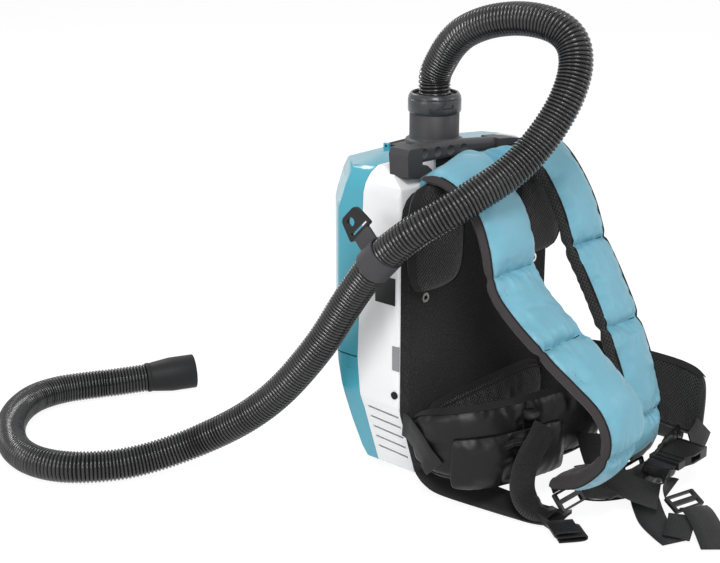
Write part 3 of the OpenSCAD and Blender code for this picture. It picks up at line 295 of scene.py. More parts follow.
def sweep(rings, loop=False, paint=None, pins=None):
    """A bmesh skin through rings of equal count, closed at its ends or into a loop. Paint
    gives a column's material, and pins the weight of each ring's points."""
    rings = [np.asarray(r) for r in rings]
    if loop:
        rings.append(rings[0])
    widest = max(rings, key=lambda r: np.linalg.norm(np.diff(r, axis=0), axis=1).sum())
    lengths = (distances(np.vstack([widest, widest[:1]])),
               distances(np.array([r.mean(axis=0) for r in rings])))
    last = len(rings) - 1
    bm = joined(strip(rings, i, min(i + 40, last), lengths, paint, pins, not loop)
                for i in range(0, last, 40))
    bmesh.ops.remove_doubles(bm, verts=bm.verts, dist=1e-7)
    bmesh.ops.recalc_face_normals(bm, faces=bm.faces)
    return bm


def spun(profile, place=None, steps=96):
    """A closed outline of radius and height in millimetres, turned about an upright axis."""
    bm = bmesh.new()
    verts = [bm.verts.new((r * MM, 0, z * MM)) for r, z in profile]
    edges = [bm.edges.new((verts[i], verts[(i + 1) % len(verts)])) for i in range(len(verts))]
    bmesh.ops.spin(bm, geom=verts + edges, cent=(0, 0, 0), axis=(0, 0, 1), dvec=(0, 0, 0),
                   angle=2 * math.pi, steps=steps, use_merge=True, use_duplicate=False)
    bmesh.ops.remove_doubles(bm, verts=bm.verts, dist=1e-6)
    if place is not None:
        bmesh.ops.transform(bm, matrix=place, verts=bm.verts)
    bmesh.ops.recalc_face_normals(bm, faces=bm.faces)
    return bm


def settle(name, bm, materials, body, nodes=(), sharp=40, subdivide=0, bevel=0.0):
    """Turns the bmesh into a smooth-shaded piece that rides on a body."""
    mesh = bpy.data.meshes.new(name)
    bm.to_mesh(mesh)
    bm.free()
    for m in materials:
        mesh.materials.append(m)
    mesh.shade_smooth()
    mesh.set_sharp_from_angle(angle=math.radians(sharp))
    piece = bpy.data.objects.new(name, mesh)
    bpy.context.scene.collection.objects.link(piece)
    if bevel:
        rounding = piece.modifiers.new("Rounded edges", "BEVEL")
        rounding.width = bevel
        rounding.segments = 2
        rounding.limit_method = "ANGLE"
        rounding.angle_limit = math.radians(38)
        rounding.use_clamp_overlap = True
        rounding.harden_normals = True
    if subdivide:
        finer = piece.modifiers.new("Smooth cloth", "SUBSURF")
        finer.levels = finer.render_levels = subdivide
    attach(piece, body)
    if nodes:
        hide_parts(*nodes)
    return piece


def frame_mesh(node):
    """A merged copy of a CAD node's mesh."""
    bm = bmesh.new()
    bm.from_mesh(frame["nodes"][node].data)
    bmesh.ops.remove_doubles(bm, verts=bm.verts, dist=1e-6)
    bmesh.ops.dissolve_limit(bm, angle_limit=math.radians(0.6), verts=bm.verts, edges=bm.edges)
    return bm


def refined(node, body, material, edge, name=None):
    """A node's own shape with rounded edges."""
    return settle(name or node + "_moulding", frame_mesh(node), [material], body, [node],
                  sharp=38, bevel=edge)


def body_of(node):
    return frame["nodes"][node]["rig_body"]


# ------------------------------------------------------------------ materials
def add(tree, kind, settings=(), links=()):
    """Adds one shader node with its settings and links, and returns it."""
    node = tree.nodes.new("ShaderNode" + kind)
    for key, value in dict(settings).items():
        if isinstance(key, int) or key in node.inputs:
            node.inputs[key].default_value = value
        else:
            setattr(node, key, value)
    for socket, source in dict(links).items():
        tree.links.new(source, node.inputs[socket])
    return node


def surface(name, settings):
    """A material with an empty pattern, its node tree and its shader."""
    m = bpy.data.materials.new(name)
    m.use_nodes = True
    tree = m.node_tree
    tree.nodes.clear()
    shader = add(tree, "BsdfPrincipled", settings)
    add(tree, "OutputMaterial", {}, {"Surface": shader.outputs[0]})
    return m, tree, shader


def shade_between(tree, factor, low, high):
    """A colour that runs from low to high with a factor."""
    ramp = add(tree, "Mix", {"data_type": "RGBA"}, {0: factor})
    ramp.inputs[6].default_value = low
    ramp.inputs[7].default_value = high
    return ramp.outputs[2]


def darker(colour, share):
    return [c * share for c in colour[:3]] + [1.0]


def lighter(colour, share):
    return [c + (1 - c) * share for c in colour[:3]] + [1.0]


def moulded(name, colour, roughness, grain, depth, coat=0.0, level=0.5, spread=0.04):
    """Moulded plastic: an even colour, a fine spark-eroded grain of the given size in
    millimetres, and patches of handling shine."""
    m, tree, shader = surface(name, {"IOR": 1.46, "Specular IOR Level": level,
                                     "Coat Weight": coat, "Coat Roughness": 0.08})
    place = add(tree, "TexCoord").outputs["Object"]
    patches = add(tree, "TexNoise", {"Scale": 1 / (45 * MM), "Detail": 3}, {"Vector": place})
    tree.links.new(shade_between(tree, patches.outputs[0], darker(colour, 1 - spread),
                                 lighter(colour, spread * 0.4)), shader.inputs["Base Color"])
    shine = add(tree, "MapRange", {"To Min": roughness * 0.85, "To Max": roughness * 1.2},
                {0: patches.outputs[0]})
    tree.links.new(shine.outputs[0], shader.inputs["Roughness"])
    pits = add(tree, "TexNoise", {"Scale": 1 / (grain * MM), "Detail": 2}, {"Vector": place})
    bump = add(tree, "Bump", {"Strength": 0.35, "Distance": depth * MM},
               {"Height": pits.outputs[0]})
    tree.links.new(bump.outputs[0], shader.inputs["Normal"])
    return m


def metal(name, colour, roughness, grain):
    """Plated metal with faint rolling marks along its length."""
    m, tree, shader = surface(name, {"Metallic": 1.0, "Base Color": colour})
    place = add(tree, "TexCoord").outputs["Object"]
    drawn = add(tree, "Mapping", {"Scale": (1.0, 0.12, 1.0)}, {"Vector": place})
    marks = add(tree, "TexNoise", {"Scale": 1 / (grain * MM), "Detail": 4},
                {"Vector": drawn.outputs[0]})
    shine = add(tree, "MapRange", {"To Min": roughness * 0.7, "To Max": roughness * 1.5},
                {0: marks.outputs[0]})
    tree.links.new(shine.outputs[0], shader.inputs["Roughness"])
    bump = add(tree, "Bump", {"Strength": 0.2, "Distance": 0.03 * MM},
               {"Height": marks.outputs[0]})
    tree.links.new(bump.outputs[0], shader.inputs["Normal"])
    return m


def woven(name, colour, thread, roughness, sheen, depth, ribbed=False, contrast=0.25,
          level=0.3, crease=0.0):
    """Woven cloth on the piece's UV map, with threads of the given pitch in millimetres.
    Ribbed cloth has its cords across the length only."""
    m, tree, shader = surface(name, {
        "Roughness": roughness, "Sheen Weight": sheen, "Sheen Roughness": 0.35,
        "Sheen Tint": lighter(colour, 0.5), "Specular IOR Level": level})
    place = add(tree, "UVMap").outputs["UV"]
    size = {"Scale": math.pi / 10 / (thread * MM)}
    weft = add(tree, "TexWave", {**size, "bands_direction": "Y", "Distortion": 0.6,
                                 "Detail Scale": 2.0}, {"Vector": place})
    warp = add(tree, "TexWave", {"Scale": size["Scale"] * (0.45 if ribbed else 1),
                                 "bands_direction": "X", "Distortion": 0.6},
               {"Vector": place})
    threads = add(tree, "Math", {"operation": "MAXIMUM" if not ribbed else "MULTIPLY"},
                  {0: weft.outputs[1], 1: warp.outputs[1]})
    if ribbed:
        threads = add(tree, "Math", {"operation": "MULTIPLY_ADD", 1: 0.3},
                      {0: threads.outputs[0], 2: weft.outputs[1]})
    object_place = add(tree, "TexCoord").outputs["Object"]
    tone = add(tree, "TexNoise", {"Scale": 1 / (28 * MM), "Detail": 4},
               {"Vector": object_place})
    woven_colour = shade_between(tree, threads.outputs[0], darker(colour, 1 - contrast), colour)
    toned = add(tree, "Mix", {"data_type": "RGBA", "blend_type": "MULTIPLY", 0: 0.5})
    toned.inputs[7].default_value = (1, 1, 1, 1)
    tree.links.new(woven_colour, toned.inputs[6])
    grey = shade_between(tree, tone.outputs[0], (0.72, 0.72, 0.74, 1), (1.15, 1.15, 1.13, 1))
    tree.links.new(grey, toned.inputs[7])
    tree.links.new(toned.outputs[2], shader.inputs["Base Color"])
    bump = add(tree, "Bump", {"Strength": 0.6, "Distance": depth * MM},
               {"Height": threads.outputs[0]})
    if crease:
        puckers = add(tree, "TexNoise", {"Scale": 1 / (9 * MM), "Detail": 3,
                                         "Distortion": 0.8}, {"Vector": place})
        bump_low = add(tree, "Bump", {"Strength": 0.5, "Distance": crease * MM},
                       {"Height": puckers.outputs[0], "Normal": bump.outputs[0]})
        bump = bump_low
    tree.links.new(bump.outputs[0], shader.inputs["Normal"])
    return m


def netting(name, thread, shaded_hole_colour, pitch, roughness=0.75):
    """Spacer mesh: a knitted net of the given pitch in millimetres, whose holes are painted near
    black: partly the darker ground under the net, partly painted shade inside the holes."""
    m, tree, shader = surface(name, {"Roughness": roughness, "Sheen Weight": 0.25,
                                     "Sheen Roughness": 0.4, "Specular IOR Level": 0.2})
    place = add(tree, "UVMap").outputs["UV"]
    turned = add(tree, "Mapping", {"Rotation": (0, 0, math.radians(45)),
                                   "Scale": (1.0, 1.0, 1.0)}, {"Vector": place})
    cells = add(tree, "TexVoronoi", {"Scale": 1 / (pitch * MM), "Randomness": 0.12,
                                     "voronoi_dimensions": "2D"}, {"Vector": turned.outputs[0]})
    walls = add(tree, "MapRange", {"From Min": 0.26, "From Max": 0.42, "interpolation_type":
                                   "SMOOTHSTEP"}, {0: cells.outputs["Distance"]})
    # Painted shade: the holes take the near-black colour, darker than the threads.
    tree.links.new(shade_between(tree, walls.outputs[0], shaded_hole_colour, thread),
                   shader.inputs["Base Color"])
    bump = add(tree, "Bump", {"Strength": 0.9, "Distance": 0.5 * MM},
               {"Height": walls.outputs[0]})
    tree.links.new(bump.outputs[0], shader.inputs["Normal"])
    return m


def fibrous(name, colour, fleck, roughness=0.95, size=1.6, depth=0.25):
    """Felt and foam: fine fibres or pores with lighter flecks."""
    m, tree, shader = surface(name, {"Roughness": roughness, "Sheen Weight": 0.15,
                                     "Specular IOR Level": 0.15})
    place = add(tree, "TexCoord").outputs["Object"]
    fine = add(tree, "TexNoise", {"Scale": 1 / (size * MM), "Detail": 4, "Roughness": 0.8,
                                  "Distortion": 0.6}, {"Vector": place})
    wide = add(tree, "TexNoise", {"Scale": 1 / (60 * MM), "Detail": 2}, {"Vector": place})
    slight = add(tree, "MapRange", {"To Min": 0.9, "To Max": 1.1}, {0: wide.outputs[0]})
    both = add(tree, "Math", {"operation": "MULTIPLY"},
               {0: fine.outputs[0], 1: slight.outputs[0]})
    span = add(tree, "MapRange", {"From Min": 0.46, "From Max": 0.8}, {0: both.outputs[0]})
    tree.links.new(shade_between(tree, span.outputs[0], colour, fleck),
                   shader.inputs["Base Color"])
    bump = add(tree, "Bump", {"Strength": 0.6, "Distance": depth * MM},
               {"Height": fine.outputs[0]})
    tree.links.new(bump.outputs[0], shader.inputs["Normal"])
    return m


FINISH = {}


def finish(key):
    """The material of that name, made the first time it is asked for."""
    if key not in FINISH:
        FINISH[key] = FINISHES[key]()
    return FINISH[key]


def case_settings():
    return bpy.context.scene.vacuum_case


def harness_settings():
    return bpy.context.scene.vacuum_harness


FINISHES = {
    # Glossy ABS from a polished mould: bright, with soft reflections.
    "white": lambda: moulded("White_ABS_satin", list(case_settings().shell_colour), 0.32, 1.1,
                             0.02, coat=0.15, spread=0.02),
    # Dyed ABS with a polished skin: deep colour and clear reflections.
    "teal": lambda: moulded("Teal_ABS_polished", list(case_settings().cover_colour), 0.22, 1.4,
                            0.006, coat=0.15, level=0.4, spread=0.05),
    # Glass-filled nylon with a spark-eroded grain: grey, dull and slightly rough.
    "grey": lambda: moulded("Grey_nylon_grained", linear("#333235"), 0.46, 0.9, 0.1,
                            level=0.3, spread=0.08),
    # Polished ABS of the lock ring: dark, with sharp reflections.
    "ring": lambda: moulded("Dark_ABS_polished", linear("#2d2f33"), 0.3, 1.5, 0.02, coat=0.25,
                            level=0.4),
    # Acetal of the buckles and adjusters: black with a soft gloss.
    "black": lambda: moulded("Black_acetal_moulded", linear("#121213"), 0.34, 1.0, 0.04,
                             level=0.3),
    # Plain black ABS of the inner frame and the batteries.
    "inner": lambda: moulded("Black_ABS_matt", linear("#141416"), 0.5, 1.2, 0.06, level=0.22),
    # Soft PVC of the hose: near black, with a bright wet shine.
    "hose": lambda: moulded("Black_PVC_soft", list(bpy.context.scene.vacuum_hose.colour), 0.16,
                            2.2, 0.01, level=0.6, spread=0.1),
    # Vulcanised rubber: black and dull.
    "rubber": lambda: moulded("Black_rubber_vulcanised", linear("#1b1b1b"), 0.7, 1.3, 0.1,
                              level=0.3),
    # Natural polypropylene tab: pale grey and waxy.
    "pale": lambda: moulded("Pale_grey_polypropylene", linear("#8b8c90"), 0.4, 1.2, 0.03),
    # Anodised plate: black with a silk shine.
    "plate": lambda: moulded("Black_anodised_silk", linear("#1c1d1f"), 0.35, 0.8, 0.03),
    # Nickel plating on brass: bright, slightly worn.
    "nickel": lambda: metal("Nickel_plated", linear("#d8d6cf"), 0.24, 1.4),
    # Machined steel of pins, bearings and shaft.
    "steel": lambda: metal("Steel_turned", linear("#b9bbbd"), 0.3, 0.8),
    # Blackened steel of the screws.
    "dark_steel": lambda: metal("Steel_blackened", linear("#2c2c2e"), 0.4, 0.8),
    # Die-cast aluminium of the fan and end plate.
    "cast": lambda: metal("Aluminium_die_cast", linear("#a9adb1"), 0.42, 1.8),
    # Enamelled copper wire.
    "copper": lambda: metal("Copper_enamelled", linear("#b4643a"), 0.35, 0.5),
    # Tight satin nylon with a silky sheen. Its threads are drawn coarser than life to show.
    "strap": lambda: woven("Teal_nylon_satin", list(harness_settings().strap_colour), 1.1, 0.42,
                           0.35, 0.05, contrast=0.08, level=0.35, crease=0.9),
    # Knitted polyester spacer mesh with hexagonal holes, painted near black: partly its ground,
    # partly painted shade.
    "mesh": lambda: netting("Black_spacer_mesh_knitted", linear("#323233"), linear("#050505"),
                            3.0),
    # Grosgrain edging tape with fine cross ribs.
    "binding": lambda: woven("Black_grosgrain_tape", linear("#433f40"), 1.2, 0.8, 0.25, 0.25,
                             contrast=0.55, level=0.15),
    # The same tape in black, on the pads and the belt.
    # The yoke's cloth: the straps' cloth given a deeper, more saturated blue.
    "yoke": lambda: woven("Teal_nylon_taut", linear("#5aa6c2"), 1.1, 0.5, 0.35, 0.05,
                          contrast=0.08, level=0.35, crease=0.9),
    "edging": lambda: woven("Black_edging_tape", linear("#1b1b1c"), 1.2, 0.7, 0.15, 0.2,
                            ribbed=True, contrast=0.4, level=0.2),
    # Coated nylon of the belt wings: black with a wet shine.
    "nylon": lambda: woven("Black_nylon_coated", linear("#0c0c0e"), 0.9, 0.38, 0.06, 0.06,
                           contrast=0.2, level=0.3, crease=0.6),
    # Polypropylene webbing with herringbone ribs across its width.
    "webbing": lambda: woven("Black_webbing_ribbed", linear("#1f1f20"), 1.6, 0.5, 0.2, 0.35,
                             ribbed=True, contrast=0.45, level=0.28),
    # Needle-punched felt of the back plate.
    "felt": lambda: fibrous("Black_felt_needled", linear("#111112"), linear("#3f3f40")),
    # Open-cell foam of the exhaust.
    "foam": lambda: fibrous("Grey_foam_open_cell", linear("#2d2d2e"), linear("#4a4a4b"),
                            size=2.0, depth=0.8),
    # Filter paper, cream and fibrous.
    "paper": lambda: fibrous("Filter_paper_creped", linear("#cfc3a8"), linear("#e6dcc6"),
                             size=2.4, depth=0.2),
    # Solder-masked circuit board.
    "board": lambda: moulded("Green_board_masked", linear("#1f5a3a"), 0.3, 1.5, 0.05),
    # Insulated wire and the batteries' release buttons.
    "red": lambda: moulded("Red_PVC_insulation", linear("#a3241d"), 0.4, 1.0, 0.03),
    # Polyester sewing thread.
    "thread": lambda: moulded("Black_polyester_thread", linear("#2e2e30"), 0.6, 0.6, 0.05,
                              level=0.3),
    # Sewing thread of the straps' teal seams.
    "teal_thread": lambda: moulded("Teal_polyester_thread", linear("#5fa9bf"), 0.6, 0.6, 0.05,
                                   level=0.3),
    # Painted shade: dark teal cloth for the cords laid in the straps' seams, where the groove's
    # shadow falls.
    "crease": lambda: woven("Teal_nylon_painted_seam_shade", linear("#143743"), 1.1, 0.7, 0.1, 0.05,
                            contrast=0.2, level=0.1),
}


def coat(node, key):
    """Gives a node that keeps its own shape its finish."""
    for held in frame["nodes"][node].material_slots:
        held.material = finish(key)


# ------------------------------------------------------------------ padding
def bulge(s):
    """Height of a padded section at s, from -1 at one edge to 1 at the other."""
    return max(0.0, 1 - abs(s) ** 3.2) ** 0.5


def padding(points, across, thick, seams=(), step=4.5, columns=14, ends=8, least=0.35,
            drawn=0.0, narrow=None, tilt=0.0):
    """Rings of a padded band in metres, with the stations' shares and the seams' stations.
    Points hold x, y, z and width in millimetres, and seams are positions in their list."""
    rows = smooth_line(points)
    run = distances(rows)
    count = int(run[-1] / (step * MM))
    sewn = [np.interp(at * 12, np.arange(len(rows)), run) / run[-1] for at in seams]
    marks = [k / count for k in range(count + 1)]
    beside = 1.3 * MM / run[-1]
    kept = [s + d for s in sewn for d in (-beside, 0, beside)]
    marks = [m for m in marks if all(abs(m - s) > 0.4 / count for s in kept)]
    marks = np.array(sorted(marks + kept))
    rows = spaced(rows, marks)
    leaning = np.tile(np.asarray(across, float), (len(rows), 1))
    leaning[:, 2] += tilt * np.clip(1 - marks / 0.16, 0, 1)
    side, up = frames_along(rows, leaning)
    rings = []
    for i, u in enumerate(marks):
        away = min([abs(u - s) * run[-1] / MM for s in sewn] + [1e3])
        end = max(0.0, 1 - abs(2 * u - 1) ** ends) ** 0.5
        half_t = thick * MM / 2 * (least + (1 - least) * end)
        taper = 1.0 if narrow is None else narrow[1] + (1 - narrow[1]) * (
            max(0.0, 1 - abs(2 * u - 1) ** narrow[0]) ** 0.5)
        half_w = rows[i, 3] / 2 * taper * (1 - drawn * math.exp(-(away / 7) ** 2))
        ring = []
        for j in range(2 * columns):
            s = 1 - 2 * j / columns if j <= columns else -1 + 2 * (j - columns) / columns
            dip = 0.84 * math.exp(-(away / 2.3) ** 2) + 0.14 * math.exp(-away / 14)
            height = bulge(s) * (1 - dip * (1 - s ** 6)) * half_t
            height *= 1 if j < columns else -1
            ring.append(rows[i, :3] + side[i] * s * half_w + up[i] * height)
        rings.append(np.array(ring))
    lines = [int(np.argmin(abs(marks - s))) for s in sewn]
    return rings, marks, lines


def outward(ring, way):
    """Unit direction out of the section at each of a ring's points."""
    along = np.roll(ring, -1, axis=0) - np.roll(ring, 1, axis=0)
    out = np.cross(along, way)
    return out / np.maximum(np.linalg.norm(out, axis=1), 1e-9)[:, None]


def laid_on(rings, columns, first, last, lift, sink=0.3):
    """Rings of a thin layer that lies on some columns of a padded band's skin."""
    mids = np.array([r.mean(axis=0) for r in rings])
    way = travel(mids)
    out = []
    for i in range(first, last + 1):
        n = outward(rings[i], way[i])
        count = len(rings[i])
        picked = [c % count for c in columns]
        top = [rings[i][c] + n[c] * lift * MM for c in picked]
        under = [rings[i][c] - n[c] * sink * MM for c in reversed(picked)]
        out.append(np.array(top + under))
    return out


def skin_line(rings, column, first, last, lift):
    """Points and outward directions along one column of a band's skin."""
    mids = np.array([r.mean(axis=0) for r in rings])
    way = travel(mids)
    picked = range(first, last + 1)
    return (np.array([rings[i][column] + outward(rings[i], way[i])[column] * lift * MM
                      for i in picked]),
            np.array([outward(rings[i], way[i])[column] for i in picked]))


def seam_line(rings, line, columns, lift):
    """Points and outward directions across a band at one station."""
    mids = np.array([r.mean(axis=0) for r in rings])
    n = outward(rings[line], travel(mids)[line])
    return (np.array([rings[line][c] + n[c] * lift * MM for c in columns]),
            np.array([n[c] for c in columns]))


def sewn_skin(rings, columns, lines, edge=1, lower_free=0.15):
    """Weights that hold the cloth at the seams, the edges and both ends."""
    pins = []
    for i in range(len(rings)):
        held_row = i < 2 or i > len(rings) - 3 or i in lines
        row = []
        for j in range(2 * columns):
            near_edge = min(j, abs(j - columns), 2 * columns - j) <= edge
            row.append(1.0 if held_row or near_edge else 0.0 if j < columns else 1 - lower_free)
        pins.append(row)
    return pins


SWELLING = []


def cushion(name, rings, columns, lines, materials, nodes=(), edge=1,
            lower_free=0.15, gathers=0.0, shown=None):
    """A padded piece: its upper columns take the first material and its lower the second.
    Gathers is the height of its small folds in millimetres, and shown counts the upper
    columns that the first material covers, where it isn't all of them."""
    run = distances(np.array([r.mean(axis=0) for r in rings]))
    widest = max(rings, key=lambda r: np.linalg.norm(np.diff(r, axis=0), axis=1).sum())
    around = distances(np.vstack([widest, widest[:1]]))
    seams = [run[i] for i in lines]
    edges = [around[0], around[columns], around[-1]]
    top = shown or columns
    bm = sweep(rings, paint=lambda column: 0 if column < top else len(materials) - 1,
               pins=sewn_skin(rings, columns, lines, edge, lower_free))
    piece = settle(name, bm, materials, "root", nodes, sharp=180)
    piece.vertex_groups.new(name="sewn")
    SWELLING.append((piece, gathers, (edges, seams)))
    return piece


def folds(around, along, edges, seams):
    """The height, from -1 to 1, of the small folds that the thread draws into the cloth."""
    to_edge = np.min([abs(around - e) for e in edges], axis=0)
    to_seam = np.min([abs(along - e) for e in seams] + [np.full(len(along), 1e3)], axis=0)
    middle = 1 - np.exp(-to_edge / 9)
    at_seam = (np.sin(around * 0.55 + 1.6 * np.sin(along * 0.09) + 1.1 * np.sin(around * 0.23))
               * np.exp(-to_seam / 11) * (1 - np.exp(-to_seam / 2)) * middle)
    at_edge = (np.sin(along * 0.5 + 2.0 * np.sin(along * 0.083 + around * 0.05)
                      + 0.8 * np.sin(along * 0.29))
               * np.exp(-to_edge / 8) * (1 - np.exp(-to_edge / 2.4)))
    wide = (np.sin(along * 0.075 + around * 0.06 + 1.5 * np.sin(around * 0.05))
            + 0.7 * np.sin(along * 0.16 - around * 0.11 + 1.3)) * middle
    return at_seam + 0.8 * at_edge + 0.32 * wide


def rounded_cloth(waiting):
    """Smooths the skins, and gathers their cloth in small folds along its thread."""
    for piece, depth, lines in waiting:
        piece.vertex_groups.clear()
        finer = piece.modifiers.new("Smooth cloth", "SUBSURF")
        finer.levels = finer.render_levels = 1
    graph = bpy.context.evaluated_depsgraph_get()
    for piece, depth, lines in waiting:
        mesh = bpy.data.meshes.new_from_object(
            piece.evaluated_get(graph), preserve_all_data_layers=True, depsgraph=graph)
        corners = np.zeros(len(mesh.loops) * 2)
        mesh.uv_layers["UVMap"].data.foreach_get("uv", corners)
        ends = np.zeros(len(mesh.loops), int)
        mesh.loops.foreach_get("vertex_index", ends)
        place = np.zeros((len(mesh.vertices), 2))
        place[ends] = corners.reshape(-1, 2) / MM
        edges, seams = lines
        height = folds(place[:, 0], place[:, 1], np.array(edges) / MM, np.array(seams) / MM)
        co = np.zeros(len(mesh.vertices) * 3)
        mesh.vertices.foreach_get("co", co)
        out = np.zeros(len(mesh.vertices) * 3)
        mesh.vertices.foreach_get("normal", out)
        co += (out.reshape(-1, 3) * height[:, None]).ravel() * depth * MM
        mesh.vertices.foreach_set("co", co)
        worn = piece.data
        piece.data = mesh
        bpy.data.meshes.remove(worn)


def swell_cloth(cap):
    """Lets the padding push all waiting skins out, as cloth that is held at its seams."""
    given = harness_settings()
    scene = bpy.context.scene
    waiting = list(SWELLING)
    pieces = [piece for piece, depth, lines in waiting]
    SWELLING.clear()
    for piece in pieces:
        cloth = piece.modifiers.new("Cloth", "CLOTH")
        cloth.settings.quality = 6
        cloth.settings.mass = 0.2
        cloth.settings.tension_stiffness = 12
        cloth.settings.compression_stiffness = 6
        cloth.settings.shear_stiffness = 3
        cloth.settings.bending_stiffness = 0.15
        cloth.settings.use_pressure = True
        cloth.settings.uniform_pressure_force = given.pressure
        cloth.settings.vertex_group_mass = "sewn"
        cloth.settings.shrink_min = -given.growth
        cloth.settings.effector_weights.gravity = 0
        cloth.collision_settings.use_collision = False
        cloth.point_cache.frame_start = 1
        cloth.point_cache.frame_end = given.frames
    for number in range(1, given.frames + 1):
        scene.frame_set(number)
    graph = bpy.context.evaluated_depsgraph_get()
    for piece in pieces:
        count = len(piece.data.vertices) * 3
        before = np.zeros(count)
        piece.data.vertices.foreach_get("co", before)
        after = np.zeros(count)
        piece.evaluated_get(graph).data.vertices.foreach_get("co", after)
        move = (after - before).reshape(-1, 3)
        size = np.linalg.norm(move, axis=1)[:, None]
        move = move * np.minimum(1, cap * MM / np.maximum(size, 1e-9))
        piece.modifiers.remove(piece.modifiers["Cloth"])
        piece.data.vertices.foreach_set("co", before + move.ravel())
        piece.data.update()
    scene.frame_set(1)
    rounded_cloth(waiting)


def stitches(name, lines, key, pitch=3.2, long=1.15, thin=0.3):
    """A row of short sewn stitches along each line of points and outward directions."""
    lots = []
    for points, normals in lines:
        run = distances(points)
        count = int(run[-1] / (pitch * MM))
        for k in range(count):
            if k % 24 == 0:
                lots.append(bmesh.new())
            at = (k + 0.5) / count * run[-1]
            mid = Vector([np.interp(at, run, points[:, a]) for a in range(3)])
            up = Vector([np.interp(at, run, normals[:, a]) for a in range(3)]).normalized()
            ahead = Vector([np.interp(at + 0.5 * MM, run, points[:, a]) for a in range(3)])
            way = (ahead - mid).normalized()
            turn = Matrix((way, up.cross(way), up)).transposed().to_4x4()
            size = Matrix.Diagonal((long * MM, thin * MM, thin * MM, 1))
            bmesh.ops.create_icosphere(lots[-1], subdivisions=1, radius=1,
                                       matrix=Matrix.Translation(mid) @ turn @ size)
    return settle(name, joined(lots), [finish(key)], "root", sharp=180)


def piping(name, points, radius, key):
    """A round sewn cord through points in metres."""
    rows = spaced(np.asarray(points), np.linspace(0, 1, max(12, len(points) * 2)))
    side, up = carried_frames(rows)
    turn = np.arange(8) * math.pi / 4
    rings = [rows[i] + radius * MM * (np.cos(turn)[:, None] * side[i]
                                      + np.sin(turn)[:, None] * up[i]) for i in range(len(rows))]
    return settle(name, sweep(rings), [finish(key)], "root", sharp=180)


def tape(name, rings, key="binding", nodes=()):
    """A sewn layer of tape or webbing through rings that are already in place."""
    return settle(name, sweep(rings), [finish(key)], "root", nodes, sharp=50)


def webbing_rings(points, across, width, thick=1.8, end_across=None):
    """Rings of flat webbing along a route in millimetres. Its width direction may turn."""
    rows = spaced(smooth_line(points), np.linspace(0, 1, max(8, len(points) * 5)))
    start = np.asarray(across, float)
    if end_across is None:
        turn = np.broadcast_to(start, (len(rows), 3))
    else:
        share = (np.linspace(0, 1, len(rows)) ** 2)[:, None]
        turn = start + (np.asarray(end_across, float) - start) * share
    way = travel(rows)
    side = turn - way * np.sum(turn * way, axis=1)[:, None]
    side = side / np.linalg.norm(side, axis=1)[:, None]
    up = np.cross(way, side)
    w, t = width / 2 * MM, thick / 2 * MM
    lip = 0.8 * MM
    section = [(w, -t * 0.4), (w, t * 0.4), (w - lip, t), (w / 3, t * 0.9), (-w / 3, t * 0.9),
               (lip - w, t), (-w, t * 0.4), (-w, -t * 0.4), (lip - w, -t), (-w / 3, -t * 0.9),
               (w / 3, -t * 0.9), (w - lip, -t)]
    return [np.array([r[:3] + a * x + b * z for x, z in section])
            for r, a, b in zip(rows, side, up)]


def webbing(name, points, across, width, nodes=(), thick=1.8, end_across=None):
    return tape(name, webbing_rings(points, across, width, thick, end_across), "webbing",
                nodes)


# ------------------------------------------------------------------ operators
def studio_lamp(name, place, size, power, aim=(0.0, 0.0, 0.2)):
    lamp = bpy.data.lights.new(name, "AREA")
    lamp.size = size
    lamp.energy = power
    held = bpy.data.objects.new(name, lamp)
    held.location = place
    held.rotation_euler = (Vector(aim) - Vector(place)).to_track_quat("-Z", "Y").to_euler()
    bpy.context.scene.collection.objects.link(held)


